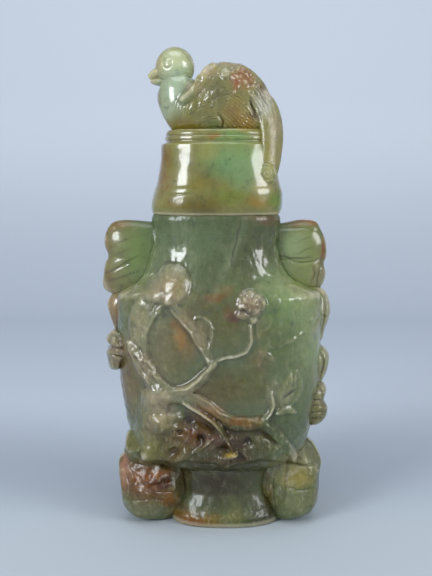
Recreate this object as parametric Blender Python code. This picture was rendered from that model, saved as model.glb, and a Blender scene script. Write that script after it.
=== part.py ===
"""A lidded urn carved from fluorite: a flattened, footed vase with leaf handles and fruiting branches in relief,
and a drum-shaped lid with a long-tailed bird on it.

The vase is one carved stone and the lid is another. Z is up, the front faces -Y, and the foot's flat underside is
on Z = 0. X = 0 is the middle of the body. Sizes below are in millimetres; MM turns them into metres.
"""

import math

import bmesh
import bpy
import numpy as np

MM = 0.001

# Driving dimensions, in millimetres
FOOT_CENTRE = 2.6
SEAM_HEIGHT = 137.5
SEAM_GAP = 0.3
PLUG_DEPTH = 4.0
PLUG_CLEARANCE = 0.6
HANDLE_HALF_THICKNESS = 6.5
RELIEF = 3.6
LEAF_RELIEF = 3.0
TIP = 0.6

# How finely each kind of shape is cut
AROUND_BODY = 28
AROUND_CAVITY = 20
AROUND_BRANCH = 6
AROUND_LOBE = 9

# Height, half width, half depth and sideways shift of the vase's cross-section, from the foot to the mouth
VASE_SECTIONS = (
    (0.0, 23.2, 16.8, FOOT_CENTRE),
    (1.0, 24.0, 17.6, FOOT_CENTRE),
    (6.2, 24.0, 17.6, FOOT_CENTRE),
    (7.6, 22.0, 15.8, FOOT_CENTRE),
    (10.5, 20.2, 14.4, FOOT_CENTRE),
    (15.5, 19.4, 13.6, FOOT_CENTRE),
    (21.0, 20.0, 14.2, 2.4),
    (24.5, 23.5, 16.4, 1.8),
    (27.0, 33.5, 20.5, 0.8),
    (31.0, 37.0, 21.8, 0.3),
    (40.0, 39.3, 23.0, 0.0),
    (52.0, 41.8, 24.3, 0.0),
    (66.0, 43.7, 25.0, 0.0),
    (84.0, 44.3, 25.2, 0.0),
    (98.5, 44.8, 25.0, 0.0),
    (102.4, 44.0, 24.7, 0.0),
    (104.8, 40.4, 24.1, -0.5),
    (108.0, 34.4, 23.0, -1.2),
    (112.5, 30.2, 21.6, -1.8),
    (119.0, 27.7, 20.2, -2.2),
    (126.0, 27.1, 19.5, -2.3),
    (133.0, 28.3, 19.9, -2.1),
    (SEAM_HEIGHT, 28.6, 20.0, -1.9),
)

# The same for the hollow inside the vase, from its floor to above the rim
CAVITY_SECTIONS = (
    (39.0, 17.0, 8.0, 0.5),
    (41.0, 26.0, 12.5, 0.3),
    (46.0, 32.0, 15.6, 0.0),
    (56.0, 35.0, 17.2, 0.0),
    (72.0, 36.6, 17.8, 0.0),
    (88.0, 36.4, 17.8, 0.0),
    (96.0, 33.0, 17.0, -0.4),
    (103.0, 26.0, 15.8, -1.4),
    (111.0, 21.6, 14.6, -2.0),
    (122.0, 20.6, 13.6, -2.2),
    (131.0, 21.6, 13.8, -2.0),
    (SEAM_HEIGHT + 2.0, 22.0, 14.0, -1.9),
)

# The lid's drum and its stepped top plate
LID_SECTIONS = (
    (SEAM_HEIGHT + SEAM_GAP, 27.9, 19.6, -1.5),
    (139.2, 28.5, 20.1, -1.4),
    (142.0, 28.8, 20.3, -1.2),
    (146.0, 28.5, 20.1, -0.8),
    (150.5, 27.4, 19.3, -0.6),
    (156.0, 26.0, 18.4, -0.6),
    (162.0, 25.0, 17.8, -0.8),
    (167.6, 24.4, 17.4, -1.0),
    (168.6, 23.6, 16.9, -1.0),
    (169.2, 22.4, 16.0, -1.0),
    (171.0, 22.6, 16.2, -1.0),
    (173.2, 22.4, 16.0, -1.0),
    (174.4, 21.2, 15.2, -1.0),
)
LID_HOLLOW_TOP = 161.0

ROUND_SQUARE = 2.6
OVAL = 2.2


# Curves and surfaces


def curve_through(points, count):
    """The Catmull-Rom curve through the points, read at count places an equal distance apart."""
    points = np.asarray(points, float)
    padded = np.vstack([2 * points[0] - points[1], points, 2 * points[-1] - points[-2]])
    along = np.linspace(0, 1, 12, endpoint=False)[:, None]
    stretches = []
    for start in range(len(points) - 1):
        before, a, b, after = padded[start : start + 4]
        cubic = 3 * a - before - 3 * b + after
        square = 2 * before - 5 * a + 4 * b - after
        stretches.append(a + 0.5 * along * (b - before + along * (square + along * cubic)))
    dense = np.vstack([*stretches, points[-1:]])
    lengths = np.concatenate([[0], np.cumsum(np.linalg.norm(np.diff(dense, axis=0), axis=1))])
    wanted = np.linspace(0, lengths[-1], count)
    return np.stack([np.interp(wanted, lengths, column) for column in dense.T], axis=1)


def superellipse(angle, half_width, half_depth, power):
    """The point of a superellipse, |x/a|^p + |y/b|^p = 1, at each angle."""
    cosine, sine = np.cos(angle), np.sin(angle)
    x = half_width * np.sign(cosine) * np.abs(cosine) ** (2 / power)
    y = half_depth * np.sign(sine) * np.abs(sine) ** (2 / power)
    return x, y


def section_at(height):
    """Half width, half depth and shift of the vase at a height."""
    table = np.asarray(VASE_SECTIONS)
    return [np.interp(height, table[:, 0], column) for column in table.T[1:]]


def on_vase(x, z, proud, side=-1):
    """The point on the vase's front (side -1) or back (side 1) at x and z, standing proud of it."""
    half_width, half_depth, shift = section_at(z)
    across = min(abs((x - shift) / half_width), 0.985)
    depth = half_depth * (1 - across**ROUND_SQUARE) ** (1 / ROUND_SQUARE)
    return (x, side * (depth + proud), z)


# Closed solids


def solid(name, rings, collection):
    """A closed mesh over a stack of rings of points in millimetres, with a point in the middle of each end."""
    rings = np.asarray(rings) * MM
    rows, columns, _ = rings.shape
    points = np.vstack([rings.reshape(-1, 3), rings[0].mean(axis=0), rings[-1].mean(axis=0)])
    index = np.arange(rows * columns).reshape(rows, columns)
    following = np.roll(index, -1, axis=1)
    quads = np.stack([index[:-1], following[:-1], following[1:], index[1:]], axis=-1).reshape(-1, 4)
    faces = quads.tolist()
    first, last = rows * columns, rows * columns + 1
    faces += [(first, following[0, i], index[0, i]) for i in range(columns)]
    faces += [(last, index[-1, i], following[-1, i]) for i in range(columns)]
    mesh = bpy.data.meshes.new(name)
    mesh.from_pydata(points.tolist(), [], [[int(i) for i in face] for face in faces])
    working = bmesh.new()
    working.from_mesh(mesh)
    bmesh.ops.recalc_face_normals(working, faces=working.faces)
    working.to_mesh(mesh)
    working.free()
    mesh.shade_smooth()
    mesh.set_sharp_from_angle(angle=math.radians(35))
    made = bpy.data.objects.new(name, mesh)
    collection.objects.link(made)
    return made


def turned(name, sections, columns, power, collection):
    """A solid of superellipse sections, each given by height, half width, half depth and shift."""
    angle = np.linspace(0, 2 * math.pi, columns, endpoint=False)
    rings = []
    for height, half_width, half_depth, shift in sections:
        x, y = superellipse(angle, half_width, half_depth, power)
        rings.append(np.stack([x + shift, y, np.full_like(x, height)], axis=1))
    return solid(name, rings, collection)


def swept(name, path, widths, heights, collection, columns=AROUND_BRANCH, out=(0, -1, 0)):
    """A solid with an elliptical section carried along a path: widths lie along the surface, heights stand out."""
    path = np.asarray(path, float)
    along = np.gradient(path, axis=0)
    along /= np.linalg.norm(along, axis=1)[:, None]
    across = np.cross(along, out)
    across /= np.linalg.norm(across, axis=1)[:, None]
    up = np.cross(across, along)
    angle = np.linspace(0, 2 * math.pi, columns, endpoint=False)
    wide = np.broadcast_to(widths, len(path))[:, None, None]
    high = np.broadcast_to(heights, len(path))[:, None, None]
    around = np.cos(angle)[None, :, None] * across[:, None] * wide
    rings = path[:, None] + around + np.sin(angle)[None, :, None] * up[:, None] * high
    return solid(name, rings, collection)


def branch(name, places, thickness, collection, side=-1, proud=1.2, count=11):
    """A branch cut on the vase's face through the given (x, z) places, tapering a little to its tip. A pair for
    proud gives how far its two ends stand out."""
    flat = curve_through(places, count)
    rises = np.linspace(*proud, count) if isinstance(proud, tuple) else np.full(count, proud)
    path = [on_vase(x, z, rise, side) for (x, z), rise in zip(flat, rises, strict=True)]
    taper = np.linspace(1, 0.75, count)
    return swept(name, path, thickness * taper, RELIEF * taper, collection)


def leaf(name, places, width, collection, side=-1, proud=0.8, count=9):
    """A leaf along the given places, widest before its middle and pointed at both ends."""
    flat = curve_through(places, count)
    path = [on_vase(x, z, proud, side) for x, z in flat]
    across = np.sin(np.linspace(0.1, math.pi - 0.08, count) ** 0.95)
    return swept(name, path, width * across + TIP, LEAF_RELIEF * across + TIP, collection)


def lobe(name, centre, radii, collection, bumps=0, bump=0.0, phase=0.0, columns=AROUND_LOBE, rows=6):
    """An egg-shaped lump whose surface swells and sinks in waves round it."""
    down = np.linspace(0.16, math.pi - 0.16, rows)[:, None]
    round_it = np.linspace(0, 2 * math.pi, columns, endpoint=False)[None, :]
    swell = 1 + bump * np.sin(bumps * round_it + phase) * np.sin(2 * down + phase)
    x = np.sin(down) * np.cos(round_it) * swell
    y = np.sin(down) * np.sin(round_it) * swell
    z = np.cos(down) * (1 + 0 * round_it) * swell
    rings = np.stack([x, y, z], axis=-1) * np.asarray(radii) + np.asarray(centre)
    return solid(name, rings, collection)


def fan_handle(name, outline, root, grooves, collection, columns=26, steps=3):
    """A pillow-shaped leaf plate: its outline shrinks towards the root as its face rises, and furrows run out
    from the root."""
    closed = curve_through([*outline, outline[0]], columns + 1)[:-1]
    root = np.asarray(root, float)
    heading = np.arctan2(closed[:, 1] - root[1], closed[:, 0] - root[0])
    furrow = sum(np.exp(-(((heading - math.radians(degrees)) / 0.09) ** 2)) for degrees in grooves)
    lift = np.linspace(-1, 1, 2 * steps + 1)
    rings = []
    for step in lift:
        spread = (1 - abs(step) ** 2.6) ** 0.5 * 0.86 + 0.14
        flat = root + (closed - root) * spread
        depth = np.sign(step) * HANDLE_HALF_THICKNESS * abs(step) ** 0.8 * (1 - 0.22 * furrow * spread)
        rings.append(np.stack([flat[:, 0], depth * np.ones(columns), flat[:, 1]], axis=1))
    return solid(name, rings, collection)


# Pieces


def helpers(name):
    """A collection for shapes that only serve to join or cut."""
    collection = bpy.data.collections.new(name)
    collection.hide_render = True
    bpy.context.scene.collection.children.link(collection)
    return collection


def stone(name, colour, roughness):
    """Polished stone, as a plain Principled material."""
    material = bpy.data.materials.new(name)
    material.use_nodes = True
    shader = material.node_tree.nodes["Principled BSDF"]
    shader.inputs["Base Color"].default_value = (*colour, 1)
    shader.inputs["Roughness"].default_value = roughness
    shader.inputs["Metallic"].default_value = 0.0
    shader.inputs["IOR"].default_value = 1.434
    return material


def join_and_cut(core, carving, hollow):
    """Joins everything in the carving collection to the core, then cuts the hollow's solids out of it."""
    union = core.modifiers.new("join carving", "BOOLEAN")
    union.operation = "UNION"
    union.solver = "EXACT"
    union.operand_type = "COLLECTION"
    union.collection = carving
    cut = core.modifiers.new("cut hollow", "BOOLEAN")
    cut.operation = "DIFFERENCE"
    cut.solver = "EXACT"
    cut.operand_type = "COLLECTION"
    cut.collection = hollow
    for helper in [*carving.objects, *hollow.objects]:
        helper.hide_render = True
        helper.display_type = "WIRE"


def carve_handles(carving):
    """The leaf-shaped handles stand out from the neck's sides, above the shoulders."""
    left = (
        (-24, 134), (-33, 134.8), (-42, 135.2), (-47.6, 133.2), (-50.8, 128.4), (-51.2, 122.6), (-49.2, 117.2),
        (-52, 114.2), (-52.2, 109.4), (-52, 105.2), (-48.4, 102.4), (-38, 99.5), (-27, 101), (-21, 112),
    )
    right = (
        (21, 133), (29, 134.2), (36, 135.2), (42.4, 135), (45.6, 131.2), (47.6, 126), (48.4, 119.4), (47, 114),
        (47.8, 110), (44.8, 104.8), (37, 99.5), (27, 101), (20, 112),
    )
    fan_handle("left handle", left, (-35, 121), (197, 212), carving)
    fan_handle("right handle", right, (33, 121), (-16, -42), carving)


def carve_rocks(carving):
    """A rock lump stands out at each lower corner, clear of the ground, and rough rock joins them at the front."""
    lobe("left rock", (-30.6, -4, 21.5), (15.8, 18, 19.5), carving, 3, 0.07, 0.6, columns=14, rows=9)
    lobe("left rock crest", (-33, -3, 38), (9, 13, 9), carving, 3, 0.06, 1.4)
    lobe("right rock", (33, -4, 20.5), (14, 17, 18.6), carving, 3, 0.07, 0.9, columns=14, rows=9)
    lobe("right rock crest", (37, -3, 33), (9, 13, 8.5), carving, 3, 0.06, 0.3)
    lobe("front rock left", (-18.6, -20, 43), (15, 9, 13.5), carving, 4, 0.08, 0.4, columns=12)
    lobe("front rock right", (3.4, -19.5, 40), (15, 8.5, 10.5), carving, 4, 0.08, 2.0, columns=12)
    lobe("back rock", (2, 18.5, 40), (24, 8, 11), carving, 5, 0.06, 1.0, columns=12)


def carve_front_branches(carving):
    """The fruiting branches on the front: a loop at the left and an oval ring of strap-like stems below it."""
    branch("loop right", ((-22.6, 101), (-15, 94), (-9, 84), (-5.6, 76), (-6.6, 69)), 1.9, carving)
    branch("loop foot", ((-5.6, 71), (-12, 65), (-20.6, 61.5), (-30.6, 60)), 2.6, carving)
    branch("loop left", ((-35.6, 78), (-32.1, 70), (-26.6, 62), (-23.6, 50)), 3.6, carving, count=10)
    main = ((-29.6, 60), (-16.6, 61), (-6, 57), (0.4, 52), (9.4, 50), (16.4, 51))
    branch("main branch", main, 2.7, carving, proud=2)
    branch("branch to rock", ((14.4, 52), (21, 46), (27.4, 39), (31.4, 33)), 2.6, carving, count=9)
    branch("ring side", ((14.4, 51), (20.4, 55), (21.9, 62), (19.4, 66)), 1.8, carving, count=9)
    branch("twig", ((-2.6, 55), (2, 47), (5, 41), (6.4, 37)), 2.2, carving, proud=(3.4, 4.6), count=9)
    branch("flower stem", ((13.4, 94), (14.2, 85), (8.4, 80), (0.4, 78), (-6.6, 76)), 1.3, carving)
    branch("side stem", ((14.4, 84), (20.4, 82), (28.4, 85), (35.4, 90)), 1.2, carving, count=9)


def carve_front_leaves(carving):
    """Leaves and petals on the front, and at its two edges."""
    leaf("band leaf", ((-28.6, 105), (-34.1, 97), (-35, 88), (-33.6, 78)), 4.4, carving)
    leaf("ringed leaf", ((-11.1, 96), (-6.6, 91), (-5.6, 80)), 4.6, carving)
    leaf("three-pointed leaf", ((17.8, 83), (18.2, 74)), 4.2, carving)
    leaf("folded leaf", ((18.4, 67), (24.4, 63), (27.4, 57)), 4.4, carving)
    leaf("folded leaf tip", ((25.9, 58), (30.4, 63), (30.9, 70)), 3.2, carving)
    leaf("upper right leaf", ((30.4, 105), (36.4, 101), (40, 94)), 4.2, carving)
    leaf("mid right leaf", ((35.4, 97), (38.9, 90), (39.4, 80)), 3.6, carving)


def carve_fruit(carving):
    """Fruit and flowers: a peach and a rough blossom on the front, buds and leaf clusters down both edges."""
    lobe("peach", on_vase(-19.8, 109.6, -0.6), (8.2, 5.6, 8.6), carving)
    lobe("peach knot", on_vase(-27.1, 102.5, 0), (5.4, 4.2, 3.6), carving, 3, 0.1)
    lobe("blossom", on_vase(13, 101, -0.8), (7.8, 5.6, 7.2), carving, 4, 0.1, 0.7)
    lobe("round fruit", on_vase(17, 94.4, -0.4), (4.2, 4.0, 4.0), carving)
    lobe("left bud", (-45.6, -1, 95), (5.6, 5.6, 9.6), carving)
    lobe("left cluster", (-43.4, -6, 80), (6.8, 8.0, 6.2), carving, 3, 0.12, 0.5)
    lobe("left cluster foot", (-42.4, -6, 72.4), (7.0, 7.0, 5.6), carving, 3, 0.12, 1.8)
    lobe("right edge leaf", (42.6, -2, 91.5), (4.8, 7.6, 12.4), carving)
    lobe("right lobe", (42.6, -2, 69.6), (6.2, 7.4, 9.0), carving, 2, 0.05)
    lobe("right small lobe", (43.4, -3, 55.6), (5.2, 6.6, 5.8), carving)
    lobe("right fan lobe", (42.0, -3, 47.8), (7.2, 7.0, 6.6), carving)


def carve_back(carving):
    """The back is plainer: one branch with two leaves and a fruit."""
    branch("back branch", ((24, 38), (21, 54), (10, 68), (-6, 80), (-12, 96)), 2.4, carving, 1, proud=(-1, 1.2))
    leaf("back leaf low", ((12, 66), (3, 58), (-6, 54)), 4.6, carving, side=1)
    leaf("back leaf high", ((-4, 79), (8, 86), (18, 88)), 4.6, carving, side=1)
    lobe("back fruit", on_vase(-14, 101, -0.6, 1), (7.6, 5.2, 7.8), carving)


def make_vase():
    """The vase: foot, body and neck turned to one profile, carving joined on, and the inside hollowed."""
    carving = helpers("vase carving")
    hollow = helpers("vase hollow")
    vase = turned("vase", VASE_SECTIONS, AROUND_BODY, ROUND_SQUARE, bpy.context.scene.collection)
    carve_handles(carving)
    carve_rocks(carving)
    carve_front_branches(carving)
    carve_front_leaves(carving)
    carve_fruit(carving)
    carve_back(carving)
    turned("vase inside", CAVITY_SECTIONS, AROUND_CAVITY, ROUND_SQUARE, hollow)
    join_and_cut(vase, carving, hollow)
    vase.data.materials.append(stone("green fluorite", (0.16, 0.24, 0.11), 0.12))
    return vase


def carve_plug(carving):
    """The flange under the lid, which drops into the mouth and keeps the lid in place."""
    bottom = SEAM_HEIGHT - PLUG_DEPTH
    rim, inside = section_at(SEAM_HEIGHT), CAVITY_SECTIONS[-1]
    half_width = inside[1] - PLUG_CLEARANCE
    half_depth = inside[2] - PLUG_CLEARANCE
    sections = [
        (bottom, half_width - 1.2, half_depth - 1.2, rim[2]),
        (bottom + 0.8, half_width - 0.4, half_depth - 0.4, rim[2]),
        (SEAM_HEIGHT + 2.0, half_width - 0.4, half_depth - 0.4, rim[2]),
    ]
    turned("plug", sections, AROUND_CAVITY, ROUND_SQUARE, carving)


def hollow_lid(hollow):
    """The lid's inside, open below and domed above."""
    sections = (
        (SEAM_HEIGHT - PLUG_DEPTH - 2, 17.4, 9.6, -1.9),
        (SEAM_HEIGHT + 4, 17.4, 9.6, -1.6),
        (LID_HOLLOW_TOP - 6, 16.6, 9.2, -1.0),
        (LID_HOLLOW_TOP - 1.5, 12.4, 6.6, -1.0),
        (LID_HOLLOW_TOP, 7.0, 3.4, -1.0),
    )
    turned("lid inside", sections, AROUND_CAVITY, ROUND_SQUARE, hollow)


def bird_body(carving):
    """The bird's body: upright oval sections from its breast at the left to its rump at the right."""
    sections = (
        # x, lowest z, highest z, half depth
        (-26.6, 184.6, 191.4, 2.6),
        (-24.6, 180.8, 195.4, 6.2),
        (-20.6, 174.0, 199.0, 8.8),
        (-15.0, 171.6, 199.4, 10.2),
        (-9.4, 171.6, 196.8, 11.0),
        (-5.6, 171.6, 199.8, 11.6),
        (1.0, 171.6, 203.2, 12.0),
        (8.0, 171.6, 202.6, 11.8),
        (14.0, 171.0, 199.6, 10.8),
        (18.6, 170.0, 195.4, 9.6),
        (22.0, 168.0, 188.4, 8.0),
        (24.6, 165.0, 180.6, 6.0),
        (26.4, 162.0, 172.0, 3.6),
    )
    angle = np.linspace(0, 2 * math.pi, 16, endpoint=False)
    rings = []
    for x, low, high, half_depth in sections:
        across, up = superellipse(angle, half_depth, (high - low) / 2, OVAL)
        rings.append(np.stack([np.full_like(across, x), across, (high + low) / 2 + up], axis=1))
    solid("bird body", rings, carving)


def bird_head(carving):
    """A round bare head with a short thick bill pointing left."""
    lobe("bird head", (-19.4, 0, 201.2), (8.5, 7.8, 8.8), carving, columns=14, rows=9)
    bill = ((-22, 0, 198.2), (-26.4, 0, 197.8), (-29.4, 0, 197.2), (-31.2, 0, 196.6))
    swept("bill", bill, (3.6, 3.2, 1.9, 0.8), (4.2, 3.4, 1.7, 0.7), carving, columns=8)


def bird_wings(carving):
    """A wing on each flank: a rounded leading edge over a flatter fan of feathers."""
    for side, word in ((-1, "front"), (1, "back")):
        edge = [(-12, side * 9.0, 187.6), (-7, side * 11.4, 192), (-3, side * 11.0, 197), (0, side * 8.4, 200.8)]
        swept(f"{word} wing edge", curve_through(edge, 8), 2.2, 2.2, carving)
        fan = [(-9, side * 10.6, 186), (-1, side * 11.2, 187), (8, side * 10.6, 185), (17, side * 8.4, 180)]
        reach = (3.0, 7.4, 9.0, 9.6, 8.6, 6.6, 4.4, 1.6)
        swept(f"{word} wing", curve_through(fan, 8), reach, 2.6, carving, columns=8)


def bird_tail(carving):
    """The long tail hangs over the lid's right side and ends in a curl."""
    path = [(16, -3, 190), (21.4, -4, 181), (23.6, -5, 171), (23.6, -5.4, 162), (21.6, -6, 154.6)]
    reach = (3.0, 4.6, 5.2, 5.4, 5.4, 5.4, 5.0, 4.4, 3.4)
    swept("tail", curve_through(path, 9), reach, 3.8, carving, columns=8, out=(0.8, -0.6, 0))
    lobe("tail curl", (20.4, -8.2, 153.6), (5.0, 5.4, 4.6), carving)


def make_lid():
    """The lid: a drum with a stepped top plate and a plug, hollowed from below, with the bird on top."""
    carving = helpers("lid carving")
    hollow = helpers("lid hollow")
    lid = turned("lid", LID_SECTIONS, AROUND_BODY, ROUND_SQUARE, bpy.context.scene.collection)
    carve_plug(carving)
    bird_body(carving)
    bird_head(carving)
    bird_wings(carving)
    bird_tail(carving)
    hollow_lid(hollow)
    join_and_cut(lid, carving, hollow)
    lid.data.materials.append(stone("olive fluorite", (0.22, 0.22, 0.08), 0.12))
    return lid


for existing in list(bpy.data.objects):
    bpy.data.objects.remove(existing, do_unlink=True)

for made in (make_vase(), make_lid()):
    print(made.name, "is", len(made.modifiers), "Boolean steps on", len(made.data.polygons), "faces")
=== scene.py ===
# %% [markdown]
# # A lidded urn carved from fluorite
# The real urn is two pieces of one soft, glassy stone: a flattened vase with leaf handles and fruiting
# branches in relief, and a lid with a long-tailed bird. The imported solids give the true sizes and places.
# This lesson gives the stone its fine carving, its colour zones and its polish.

# %% Load the frame
import math

import bpy
import numpy as np
from mathutils import Euler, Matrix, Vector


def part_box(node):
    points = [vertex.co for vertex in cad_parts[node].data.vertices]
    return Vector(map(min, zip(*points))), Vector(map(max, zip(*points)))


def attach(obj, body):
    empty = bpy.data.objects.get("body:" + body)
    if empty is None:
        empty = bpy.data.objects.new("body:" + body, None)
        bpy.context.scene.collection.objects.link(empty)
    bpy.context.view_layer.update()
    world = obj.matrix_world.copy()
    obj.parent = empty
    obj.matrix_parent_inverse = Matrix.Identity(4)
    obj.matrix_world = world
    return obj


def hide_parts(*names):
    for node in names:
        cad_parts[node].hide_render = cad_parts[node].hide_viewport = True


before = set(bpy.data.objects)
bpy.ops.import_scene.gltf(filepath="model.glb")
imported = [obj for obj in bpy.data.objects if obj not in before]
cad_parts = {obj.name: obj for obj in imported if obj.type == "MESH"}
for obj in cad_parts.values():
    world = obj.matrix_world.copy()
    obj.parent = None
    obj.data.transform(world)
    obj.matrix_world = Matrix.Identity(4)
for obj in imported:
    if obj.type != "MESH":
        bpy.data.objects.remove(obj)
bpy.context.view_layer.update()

VASE_BOX, LID_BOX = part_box("vase"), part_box("lid")
MM = 0.001
print("vase from", VASE_BOX[0], "to", VASE_BOX[1])
print("lid from", LID_BOX[0], "to", LID_BOX[1])

# %% [markdown]
# ## The camera
# A long-lens portrait: the camera stands about 390 mm in front of the urn, a little above its shoulders, and
# looks down by a few degrees. The width of view is set by the lens alone, so nothing needs to be shifted.

# %% Set up the camera
CAMERA_PLACE = (-1.6, -390.0, 154.8)
CAMERA_TILT = 7.3
CAMERA_LENS = 54.9


def into_scene(name, data):
    """A new object that shows this data, linked into the scene."""
    made = bpy.data.objects.new(name, data)
    bpy.context.scene.collection.objects.link(made)
    return made


camera_data = bpy.data.cameras.new("camera")
camera_data.lens = CAMERA_LENS
camera = into_scene("camera", camera_data)
camera.location = [value * MM for value in CAMERA_PLACE]
camera.rotation_euler = Euler((math.radians(90 - CAMERA_TILT), 0, 0))
bpy.context.scene.camera = camera
print("camera at", tuple(round(value, 4) for value in camera.location))

# %% [markdown]
# ## From numbers to a mesh
# Every surface here is a grid: rows of points that run round a form, worked out as whole arrays. One function
# turns such a grid into a mesh. It closes the two open ends with a point in their middle, so the form is
# watertight. If the enclosed volume comes out negative the faces point inwards, and the function turns them
# round. Spin could turn such forms too, but in arrays the relief is added to every point before there is a
# mesh.

# %% A grid of points becomes a closed form
CUBIC_CM = 0.01**3


def form(name, rings):
    """A closed mesh over rings of points in mm, shape (rows, columns, 3). Each quad joins two neighbours in
    one ring to two in the next, and a fan of triangles closes each end."""
    rings = np.asarray(rings, float) * MM
    rows, columns, _ = rings.shape
    points = np.vstack([rings.reshape(-1, 3), rings[:1].mean(axis=1), rings[-1:].mean(axis=1)])
    index = np.arange(rows * columns).reshape(rows, columns)
    beside = np.roll(index, -1, axis=1)
    quads = np.stack([index[:-1], beside[:-1], beside[1:], index[1:]], axis=-1).reshape(-1, 4)
    first = np.stack([np.full(columns, rows * columns), beside[0], index[0]], axis=1)
    last = np.stack([np.full(columns, rows * columns + 1), index[-1], beside[-1]], axis=1)
    triangles = np.vstack([quads[:, [0, 1, 2]], quads[:, [0, 2, 3]], first, last])
    corners = points[triangles]
    volume = np.einsum("ij,ij->", corners[:, 0], np.cross(corners[:, 1], corners[:, 2])) / 6
    loops = np.concatenate([quads.ravel(), first.ravel(), last.ravel()])
    sizes = np.concatenate([np.full(len(quads), 4), np.full(2 * columns, 3)])
    mesh = bpy.data.meshes.new(name)
    mesh.vertices.add(len(points))
    mesh.vertices.foreach_set("co", points.ravel())
    mesh.loops.add(len(loops))
    mesh.loops.foreach_set("vertex_index", loops)
    mesh.polygons.add(len(sizes))
    mesh.polygons.foreach_set("loop_start", np.concatenate([[0], np.cumsum(sizes)[:-1]]))
    mesh.update(calc_edges=True)
    if volume < 0:
        mesh.flip_normals()
    mesh.shade_smooth()
    print(f"{name}: {len(sizes)} faces round {abs(volume) / CUBIC_CM:.1f} cubic centimetres")
    return into_scene(name, mesh)


print("each form tells its faces and its volume as it is made")

# %% [markdown]
# ## Smooth curves
# A carver draws a branch with a few strokes. Here a few places set its course, and a Catmull-Rom curve runs
# smoothly through them. An outline that must not bulge past its own sizes, such as the vase's profile, uses a
# steadier curve, whose slope at each place is the harmonic mean of the slopes beside it.

# %% Two kinds of smooth curve
BITS_PER_SPAN = 16


def stroke(places, count):
    """A Catmull-Rom curve through the places, read at evenly spaced lengths. Between two places a and b it is
    a + u/2 (b - before + u (2 before - 5a + 4b - after + u (3a - before - 3b + after))), for u in 0..1."""
    places = np.asarray(places, float)
    padded = np.vstack([2 * places[0] - places[1], places, 2 * places[-1] - places[-2]])
    u = np.linspace(0, 1, BITS_PER_SPAN, endpoint=False)[:, None]
    bits = []
    for start in range(len(places) - 1):
        before, a, b, after = padded[start:start + 4]
        cubic, square = 3 * a - before - 3 * b + after, 2 * before - 5 * a + 4 * b - after
        bits.append(a + 0.5 * u * (b - before + u * (square + u * cubic)))
    dense = np.vstack([*bits, places[-1:]])
    length = np.concatenate([[0], np.cumsum(np.linalg.norm(np.diff(dense, axis=0), axis=1))])
    wanted = np.linspace(0, length[-1], count)
    return np.stack([np.interp(wanted, length, column) for column in dense.T], axis=1)


def steady(table, at):
    """A cubic through the rows of a table (first column: where; the rest: values) that never overshoots."""
    table = np.asarray(table, float)
    where, values = table[:, 0], table[:, 1:]
    step = np.diff(where)[:, None]
    rise = np.diff(values, axis=0) / step
    product, total = rise[:-1] * rise[1:], rise[:-1] + rise[1:]
    inner = np.where(product > 0, 2 * product / np.where(product > 0, total, 1), 0)
    slope = np.vstack([rise[:1], inner, rise[-1:]])
    i = np.clip(np.searchsorted(where, at) - 1, 0, len(step) - 1)
    u = ((at - where[i]) / step[i, 0])[:, None]
    start, end = values[i], values[i + 1]
    pull = (slope[i] * (1 - u) - slope[i + 1] * u) * step[i]
    ease = u * u * (3 - 2 * u)
    return start + (end - start) * ease + u * (1 - u) * pull


print("the middle of a bend:", stroke(((0, 0), (4, 8), (12, 8)), 3)[1].round(2))

# %% [markdown]
# ## A hand-made surface
# Hard stone is ground and polished by hand, so no face is quite true. A few sine waves in scattered
# directions, added together, give a gentle unevenness that is the same on every run.

# %% The unevenness of hand polishing
WAVES = 14
GAIN = 1.8


def waves(points, length, seed):
    """The mean of sine waves about this long (mm) in scattered directions at each point (..., 3), times a
    gain that brings most of the values to between -1 and 1."""
    random = np.random.default_rng(seed)
    heading = random.normal(size=(WAVES, 3))
    heading /= np.linalg.norm(heading, axis=1)[:, None]
    pace = 2 * math.pi / (length * random.uniform(0.7, 1.6, WAVES))
    phase = random.uniform(0, 2 * math.pi, WAVES)
    return np.sin(points @ (heading * pace[:, None]).T + phase).mean(axis=-1) * GAIN


five_places = np.arange(0, 15, 3)[:, None] * (1, 0, 0)
print("unevenness at five places 3 mm apart:", waves(five_places, 10, 1).round(2))

# %% [markdown]
# ## The vase's plain outline
# The section of the vase is a superellipse, |x/a|^p + |y/b|^p = 1, a little squarer than an oval. Its half
# width, half depth and sideways shift change with the height. The foot sits slightly to the right of the body
# and the neck slightly to the left, as they do on the real stone, which was freed by eye. A cage of faces
# pushed about by hand could come near it, but a table of sizes is easy to correct height by height.

# %% The sections, from the foot to the mouth
SQUARENESS = 2.6
MOUTH = 137.4
LID_FOOT, LID_TOP = 137.8, 174.5
VASE_SECTIONS = (
    # height, half width, half depth, shift
    (0.0, 23.4, 17.0, 2.6), (0.8, 24.0, 17.6, 2.6), (4.0, 24.0, 17.6, 2.6), (5.8, 23.1, 16.8, 2.6),
    (10.2, 20.9, 15.0, 2.7), (15.0, 19.2, 13.5, 2.9), (22.5, 19.8, 14.0, 2.4), (26.6, 22.6, 15.8, 1.9),
    (29.0, 32.0, 19.8, 0.8), (32.6, 36.6, 21.7, 0.3), (40.0, 39.3, 23.0, 0.0), (52.0, 41.8, 24.3, 0.0),
    (66.0, 43.7, 25.0, 0.0), (84.0, 44.3, 25.2, 0.0), (98.5, 44.8, 25.0, 0.0), (102.4, 44.2, 24.7, 0.0),
    (104.8, 40.4, 24.1, -0.5), (108.0, 34.4, 23.0, -1.2), (112.5, 30.2, 21.6, -1.8),
    (119.0, 27.7, 20.2, -2.2), (126.0, 26.6, 19.3, -1.9), (133.0, 27.3, 19.5, -1.6),
    (136.9, 27.5, 19.6, -1.5), (MOUTH, 27.0, 19.2, -1.5),
)
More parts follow.
